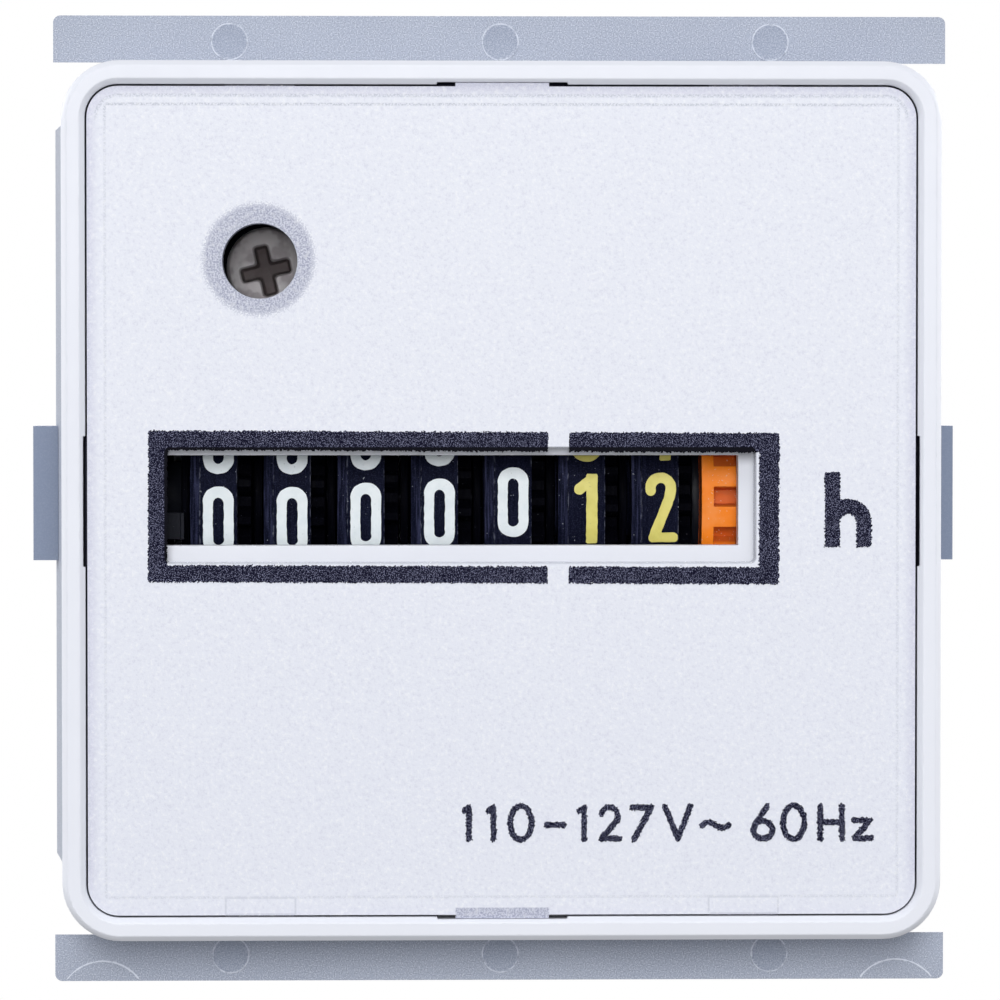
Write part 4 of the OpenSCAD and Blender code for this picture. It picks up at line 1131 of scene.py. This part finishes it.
@dataclass(frozen=True)
class PrintedMarks:
    """Marks printed on the front plate: the frame of the window, the unit and the supply rating."""

    ink_t: float = 0.025
    sunk: float = 0.01
    cell: float = 0.04
    uneven: float = 0.075
    uneven_size: float = 0.05
    outer: RoundBox = RoundBox(-2.08, -0.34, 17.21, 4.13, 0.12)
    inner: RoundBox = RoundBox(-2.105, -0.405, 16.145, 3.135, 0.12)
    frame_page: Tuple[Point, Point] = ((-19.8, -5.0), (15.8, 4.4))
    frame_lean: float = -0.25
    half_frame: RoundBox = RoundBox(20.0, 0.0, 20.0, 9.0, 0.01)
    gap_x: float = 3.065
    gap_half: float = 0.575
    gap_uneven: float = 0.04
    unit_page: Tuple[Point, Point] = ((17.2, -2.9), (20.6, 2.0))
    unit_limit: RoundBox = RoundBox(18.9, -0.45, 2.0, 2.05, 0.02)
    unit_stem: Tuple[Point, Point] = ((18.05, 2.4), (18.05, -3.3))
    unit_arch_at: Point = (18.92, -1.13)
    unit_arch_r: Point = (0.86, 0.84)
    unit_half: float = 0.415
    rating_at: Point = (-2.819, -18.62)
    rating_page: Tuple[Point, Point] = ((-3.0, -0.5), (23.8, 2.5))
    rating_half: float = 0.165
    rating_uneven: float = 0.07

    def _piece(self, name: str, contour: Contour, place: Place) -> None:
        """Make a printed film from a contour."""
        skin = Skin()
        skin.film(*contour.polygons(), place, -self.sunk, self.ink_t)
        skin.piece(name, NAVY_INK, "meter", "front_plate")

    def build(self) -> None:
        """Make the printed films."""
        half = self.half_frame
        for name, side in (("window_frame_left", -1.0), ("window_frame_right", 1.0)):
            print_half = replace(half, u=self.gap_x + side * (half.u + self.gap_half))
            shape = Contour(*self.frame_page, self.cell).add_box(self.outer).cut_box(self.inner)
            shape.roughen(self.uneven, self.uneven_size, 7).keep_box(print_half)
            shape.roughen(self.gap_uneven, self.uneven_size, 9)
            self._piece(name, shape, facing(PLATE_FRONT, lean=self.frame_lean))
        unit = Contour(*self.unit_page, self.cell).add_stroke(self.unit_stem, self.unit_half)
        arch = arc(self.unit_arch_at, self.unit_arch_r, 180, 0)
        foot = (self.unit_arch_at[0] + self.unit_arch_r[0], self.unit_stem[1][1])
        unit.add_stroke(arch + [foot], self.unit_half).keep_box(self.unit_limit)
        self._piece("unit_mark", unit.roughen(self.uneven, self.uneven_size, 11), facing(PLATE_FRONT))
        rating = Contour(*self.rating_page, self.cell)
        for sign, left in self.layout():
            for line in self.glyph(sign):
                rating.add_stroke([(left + u, v) for u, v in line], self.rating_half)
        rating.roughen(self.rating_uneven, self.uneven_size, 13)
        self._piece("supply_rating", rating, facing(PLATE_FRONT, self.rating_at))

    @staticmethod
    def layout() -> List[Tuple[str, float]]:
        """Return the signs of the rating with their left edges."""
        return [("1", 0.58), ("1", 1.915), ("0", 3.1), ("-", 5.07), ("1", 6.88), ("2", 8.05), ("7", 9.77),
                ("V", 11.55), ("~", 13.6), ("6", 16.4), ("0", 18.03), ("H", 20.03), ("z", 21.94)]

    @staticmethod
    def glyph(sign: str) -> List[List[Point]]:
        """Return the middle lines of a sign's strokes."""
        wave = [(0.15 + 1.45 * t, 0.9 + 0.15 * math.sin(2 * math.pi * t)) for t in np.linspace(0, 1, 15)]
        table: Dict[str, List[List[Point]]] = {
            "0": [arc((0.74, 1.05), (0.58, 0.92), 0, 360, 28)],
            "1": [[(0.16, 1.70), (0.42, 1.88), (0.42, 0.17)]],
            "2": [arc((0.64, 1.40), (0.46, 0.5), 165, -25) + [(0.19, 0.17), (1.18, 0.17)]],
            "6": [arc((0.69, 0.64), (0.52, 0.49), 0, 360, 24), [(0.26, 0.93), (0.92, 1.93)]],
            "7": [[(0.16, 1.88), (1.2, 1.88), (0.26, 0.12)]],
            "-": [[(0.17, 0.93), (1.09, 0.93)]],
            "V": [[(0.17, 1.93), (0.87, 0.17), (1.57, 1.93)]],
            "~": [wave],
            "H": [[(0.2, 1.93), (0.2, 0.14)], [(1.39, 1.93), (1.39, 0.14)], [(0.2, 1.05), (1.39, 1.05)]],
            "z": [[(0.14, 1.15), (1.0, 1.15), (0.18, 0.17), (1.06, 0.17)]],
        }
        return table[sign]


@dataclass(frozen=True)
class CaseScrew:
    """Cross-recess screw deep behind the hole of the plate."""

    head_r: float = 2.35
    top_y: float = 11.5
    seat_y: float = 13.4
    shank_r: float = 1.25
    end_y: float = 25.4
    end_r: float = 0.5
    dome: float = 0.32
    rim_drop: float = 0.35
    cross: RoundBox = RoundBox(0.0, 0.0, 1.5, 0.46, 0.24)
    cross_d: float = 1.15
    cross_wall: float = 0.28
    cross_at: Point = (-0.07, -0.17)
    cross_turn: float = 13.0
    thread_pitch: float = 0.8
    thread_d: float = 0.22
    thread_rise: float = 0.3
    thread_top: float = 0.1
    plain: float = 1.0
    tip: float = 0.5
    tip_d: float = 0.25
    rings: int = 64
    turns: int = 192

    def face(self, u: np.ndarray, v: np.ndarray) -> np.ndarray:
        """Return the depth of the head's face below its top at flat points."""
        a = math.radians(self.cross_turn)
        p, q = u - self.cross_at[0], v - self.cross_at[1]
        along = np.abs(p * math.cos(a) + q * math.sin(a))
        across = np.abs(q * math.cos(a) - p * math.sin(a))
        one, two = self.cross.distance(along, across), self.cross.distance(across, along)
        share = np.clip(0.5 + (two - one) / (2 * self.cross.r), 0, 1)
        arm = two + (one - two) * share - self.cross.r * share * (1 - share)
        taper = np.clip((0.05 - arm) / self.cross_wall, 0, 1)
        reach = np.clip(1.25 - 0.25 * np.maximum(along, across), 0.6, 1.2)
        r = np.hypot(u, v) / self.head_r
        crown = self.dome * r ** 2.4 + self.rim_drop * np.clip((r - 0.9) / 0.1, 0, 1) ** 2
        return crown + self.cross_d * reach * taper * taper * (3 - 2 * taper)

    def shank(self) -> List[Point]:
        """Return the (y, radius) pairs from the seat along the thread to the end."""
        line = [(self.seat_y, self.head_r), (self.seat_y, self.shank_r)]
        y = self.seat_y + self.plain
        while y < self.end_y - self.plain:
            crest = y + self.thread_rise
            line += [(y, self.shank_r - self.thread_d), (crest, self.shank_r),
                     (crest + self.thread_top, self.shank_r)]
            y += self.thread_pitch
        return line + [(self.end_y - self.tip, self.shank_r - self.tip_d), (self.end_y, self.end_r)]

    def build(self) -> None:
        """Make the head as a relief, then its side, seat and threaded shank."""
        x, z = SCREW_AT
        rings: List[np.ndarray] = []
        for r in np.linspace(0, self.head_r, self.rings + 1)[1:]:
            u, v = circle(r, self.turns)
            rings.append(np.column_stack([x + u, self.top_y + self.face(u, v), z + v]))
        for y, r in self.shank():
            rings.append(facing(y, SCREW_AT)(*circle(r, self.turns), 0.0))
        middle = self.top_y + float(self.face(np.zeros(1), np.zeros(1))[0])
        skin = Skin()
        skin.shell((x, middle, z), rings, (x, self.end_y, z))
        skin.piece("case_screw_head", WORN_STEEL, "meter", "case_screw", "case_screw", 50.0)


@dataclass(frozen=True)
class ClampFrame:
    """Grey clamping frame with the marks that its mould left on the bars."""

    mark_r: float = 1.03
    mark_turns: int = 64
    ridge: float = 0.09
    ridge_h: float = 0.035
    floor_h: float = 0.008
    foot: float = 0.03
    sunk: float = 0.02
    gate_page: Tuple[Point, Point] = ((-25.0, -26.8), (25.0, -25.4))
    gate_cell: float = 0.05
    gate_at: Point = (22.1, -28.2)
    gate_r: float = 2.5
    gate_span: Point = (38.0, 142.0)
    gate_half: float = 0.04
    gate_uneven: float = 0.02
    gate_sunk: float = 0.01

    def build(self) -> None:
        """Dress the frame, then set the ejector marks and the gate marks on its bars."""
        CadPart("mounting_frame", GREY_CLAMP, 0.12).dress()
        self.ejector_marks()
        self.gate_marks()

    def ejector_marks(self) -> None:
        """Make the round ridges that the ejector pins left."""
        top, floor, back = BAR_FRONT - self.ridge_h, BAR_FRONT - self.floor_h, BAR_FRONT + self.sunk
        r = self.mark_r
        profile = [(floor, r - 2.2 * self.ridge), (top, r - self.ridge), (top, r), (back, r + self.foot)]
        skin = Skin()
        for z in (-MARK_Z, MARK_Z):
            for x in (-MARK_X, 0.0, MARK_X):
                rings = [facing(y, (x, z))(*circle(radius, self.mark_turns), 0.0) for y, radius in profile]
                skin.shell((x, floor, z), rings, (x, back, z))
        skin.piece("ejector_marks", GREY_CLAMP, "frame", "mounting_frame", None, 20.0)

    def gate_marks(self) -> None:
        """Make the fine arcs at the ends of the lower bar, pale as a painted highlight."""
        shape = Contour(*self.gate_page, self.gate_cell)
        for side in (-1.0, 1.0):
            middle = (side * self.gate_at[0], self.gate_at[1])
            shape.add_stroke(arc(middle, (self.gate_r, self.gate_r), *self.gate_span, 24), self.gate_half)
        shape.roughen(self.gate_uneven, 0.2, 17)
        skin = Skin()
        skin.film(*shape.polygons(), facing(BAR_FRONT), -self.gate_sunk, self.ridge_h)
        skin.piece("gate_marks", RIDGE_GLINT, "frame", "mounting_frame")


@dataclass(frozen=True)
class CadGroup:
    """Sub-assembly whose CAD nodes keep their shapes."""

    parts: Tuple[CadPart, ...]

    def build(self) -> None:
        """Dress the parts."""
        for part in self.parts:
            part.dress()


@dataclass(frozen=True)
class MeterCase(CadGroup):
    """White case, its frosted plate and the rear base with the terminals."""

    parts: Tuple[CadPart, ...] = (
        CadPart("case", WHITE_CASE, 0.14),
        CadPart("front_plate", FROSTED_FACE, 0.0, 0.006),
        CadPart("rear_base", WHITE_BASE, 0.15),
        *alike(BLADE_BRASS, 0.06, "terminal_tab_left", "terminal_tab_right"),
    )


@dataclass(frozen=True)
class Movement(CadGroup):
    """Chassis, reduction train, motor and transfer pinions behind the dial."""

    parts: Tuple[CadPart, ...] = (
        CadPart("counter_chassis", BLACK_CHASSIS, 0.1),
        CadPart("run_wheel", ORANGE_WHEEL, 0.07),
        *alike(BLUED_STEEL, 0.0, "drum_shaft", "pinion_shaft"),
        *alike(PALE_GEAR, 0.0, "first_gear", "second_gear", "third_gear"),
        *alike(SHAFT_STEEL, 0.0, "first_arbor", "second_arbor", "third_arbor", "rotor_arbor"),
        CadPart("gear_plate", PLATE_BRASS, 0.08),
        *alike(SCREW_STEEL, 0.05, "gear_plate_screws", "motor_screws"),
        CadPart("rotor_magnet", FERRITE, 0.1),
        CadPart("rotor_pinion", PALE_PINION),
        *alike(STATOR_STEEL, 0.08, "stator_cup_left", "stator_cup_right", "motor_end_plate"),
        CadPart("coil_bobbin", BOBBIN, 0.08),
        CadPart("coil_winding", COIL_WIRE),
        CadPart("lead_wire_left", BLUE_SLEEVE),
        CadPart("lead_wire_right", BROWN_SLEEVE),
        *alike(BLACK_PINION, 0.0, *(f"pinion_{place}" for place in PLACES)),
    )


@dataclass(frozen=True)
class Counter:
    """Row of number drums as it stands in the window."""

    reading: Tuple[int, ...] = (0, 0, 0, 0, 0, 1, 2)
    lowered: Tuple[float, ...] = (9.3, 9.5, 7.7, 5.9, 1.0, 4.0, 3.5)
    yellow_from: int = 5

    def build(self) -> None:
        """Build the drums from left to right."""
        for i, place in enumerate(PLACES):
            paint = DigitColour.YELLOW if i >= self.yellow_from else DigitColour.WHITE
            DigitDrum(place, i, self.reading[i], self.lowered[i], paint).build()


@dataclass(frozen=True)
class Softbox:
    """Square studio lamp aimed at the meter."""

    name: str
    at: Triple
    side: float
    watts: float
    mirrored: bool = True

    def build(self) -> None:
        """Hang the lamp, kept out of mirror images where it is only a fill."""
        lamp = bpy.data.lights.new(self.name, "AREA")
        lamp.shape = "SQUARE"
        lamp.size = self.side
        lamp.energy = self.watts
        made = bpy.data.objects.new(self.name, lamp)
        made.visible_glossy = self.mirrored
        made.location = self.at
        made.rotation_euler = (-Vector(self.at)).to_track_quat("-Z", "Y").to_euler()
        bpy.context.scene.collection.objects.link(made)


@dataclass(frozen=True)
class Studio:
    """Camera, lamps, surround and floor."""

    eye: Triple = (-6.0, -253.0, 6.3)
    aim: Triple = (-0.131, -3.0, 0.087)
    lens: float = 165.3
    sensor: float = 36.0
    near: float = 0.01
    surround: float = 0.1
    floor_z: float = -67.0
    floor_r: float = 260.0
    floor_turns: int = 96
    floor_grey: Colour = (0.16, 0.16, 0.16)
    floor_glow: Point = (0.78, 0.5)
    fade: Point = (70.0, 200.0)
    lamps: Tuple[Softbox, ...] = (
        Softbox("key", (-0.02, -0.6, 0.172), 0.24, 2.18),
        Softbox("top", (0.0, -0.35, 0.5), 0.3, 0.96),
        Softbox("front", (-0.008, -0.6, 0.012), 0.05, 0.71, False),
        Softbox("left", (-0.55, 0.22, 0.12), 0.3, 2.2),
        Softbox("right", (0.55, 0.22, 0.12), 0.3, 2.2),
        Softbox("back", (0.0, 0.55, 0.25), 0.4, 1.7),
    )

    def build(self) -> None:
        """Set up the studio."""
        scene = bpy.context.scene
        scene.view_settings.view_transform = "Standard"
        view = bpy.data.cameras.new("camera")
        view.sensor_width = self.sensor
        view.lens = self.lens
        view.clip_start = self.near
        camera = bpy.data.objects.new("camera", view)
        eye, aim = Vector(self.eye) * MM, Vector(self.aim) * MM
        camera.location = eye
        camera.rotation_euler = (aim - eye).to_track_quat("-Z", "Y").to_euler()
        scene.collection.objects.link(camera)
        scene.camera = camera
        for lamp in self.lamps:
            lamp.build()
        self._surround(scene)
        self._floor(scene)

    @staticmethod
    def _seen(g: Graph) -> Sig:
        """Return 1 for what the camera, a mirror or a lens sees, and 0 for plain light."""
        path = g.node("ShaderNodeLightPath")
        glossy = path.other("Is Glossy Ray")
        return path.other("Is Camera Ray").most(glossy).most(path.other("Is Transmission Ray"))

    def _surround(self, scene: bpy.types.Scene) -> None:
        """Make the world an even surround that looks white."""
        world = bpy.data.worlds.new("surround")
        scene.world = world
        g = Graph(world)
        strength = self.surround + self._seen(g) * (1.0 - self.surround)
        shown = g.node("ShaderNodeBackground", None, {"Color": WHITE, "Strength": strength})
        g.node("ShaderNodeOutputWorld", None, {"Surface": shown})

    def _floor(self, scene: bpy.types.Scene) -> None:
        """Lay a pale round floor that keeps the shadow and fades to white at its edge."""
        turns = self.floor_turns
        rim = np.column_stack([*circle(self.floor_r, turns), np.full(turns, self.floor_z)])
        mesh = bpy.data.meshes.new("floor")
        mesh.from_pydata((rim * MM).tolist(), [], [tuple(range(turns))])
        material = bpy.data.materials.new("floor")
        g = Graph(material)
        x, y, _ = g.xyz()
        level, rise = self.floor_glow
        shine = self._seen(g) * (level + x.hypot(y).step(*self.fade) * rise)
        cast = g.node("ShaderNodeBsdfDiffuse", None, {"Color": self.floor_grey})
        glow = g.node("ShaderNodeEmission", None, {"Color": shine, "Strength": 1.0})
        both = g.node("ShaderNodeAddShader", None, {0: cast, 1: glow})
        g.node("ShaderNodeOutputMaterial", None, {"Surface": both})
        mesh.materials.append(material)
        floor = bpy.data.objects.new("floor", mesh)
        scene.collection.objects.link(floor)


def main() -> None:
    """Build the studio, then the meter from its case inwards."""
    logging.basicConfig(level=logging.INFO, format="%(name)s: %(message)s")
    for part in (Studio(), MeterCase(), ClampFrame(), PrintedMarks(), CaseScrew(), Movement(), Counter()):
        part.build()
        log.info("built %s", type(part).__name__)


if __name__ == "__main__":
    main()
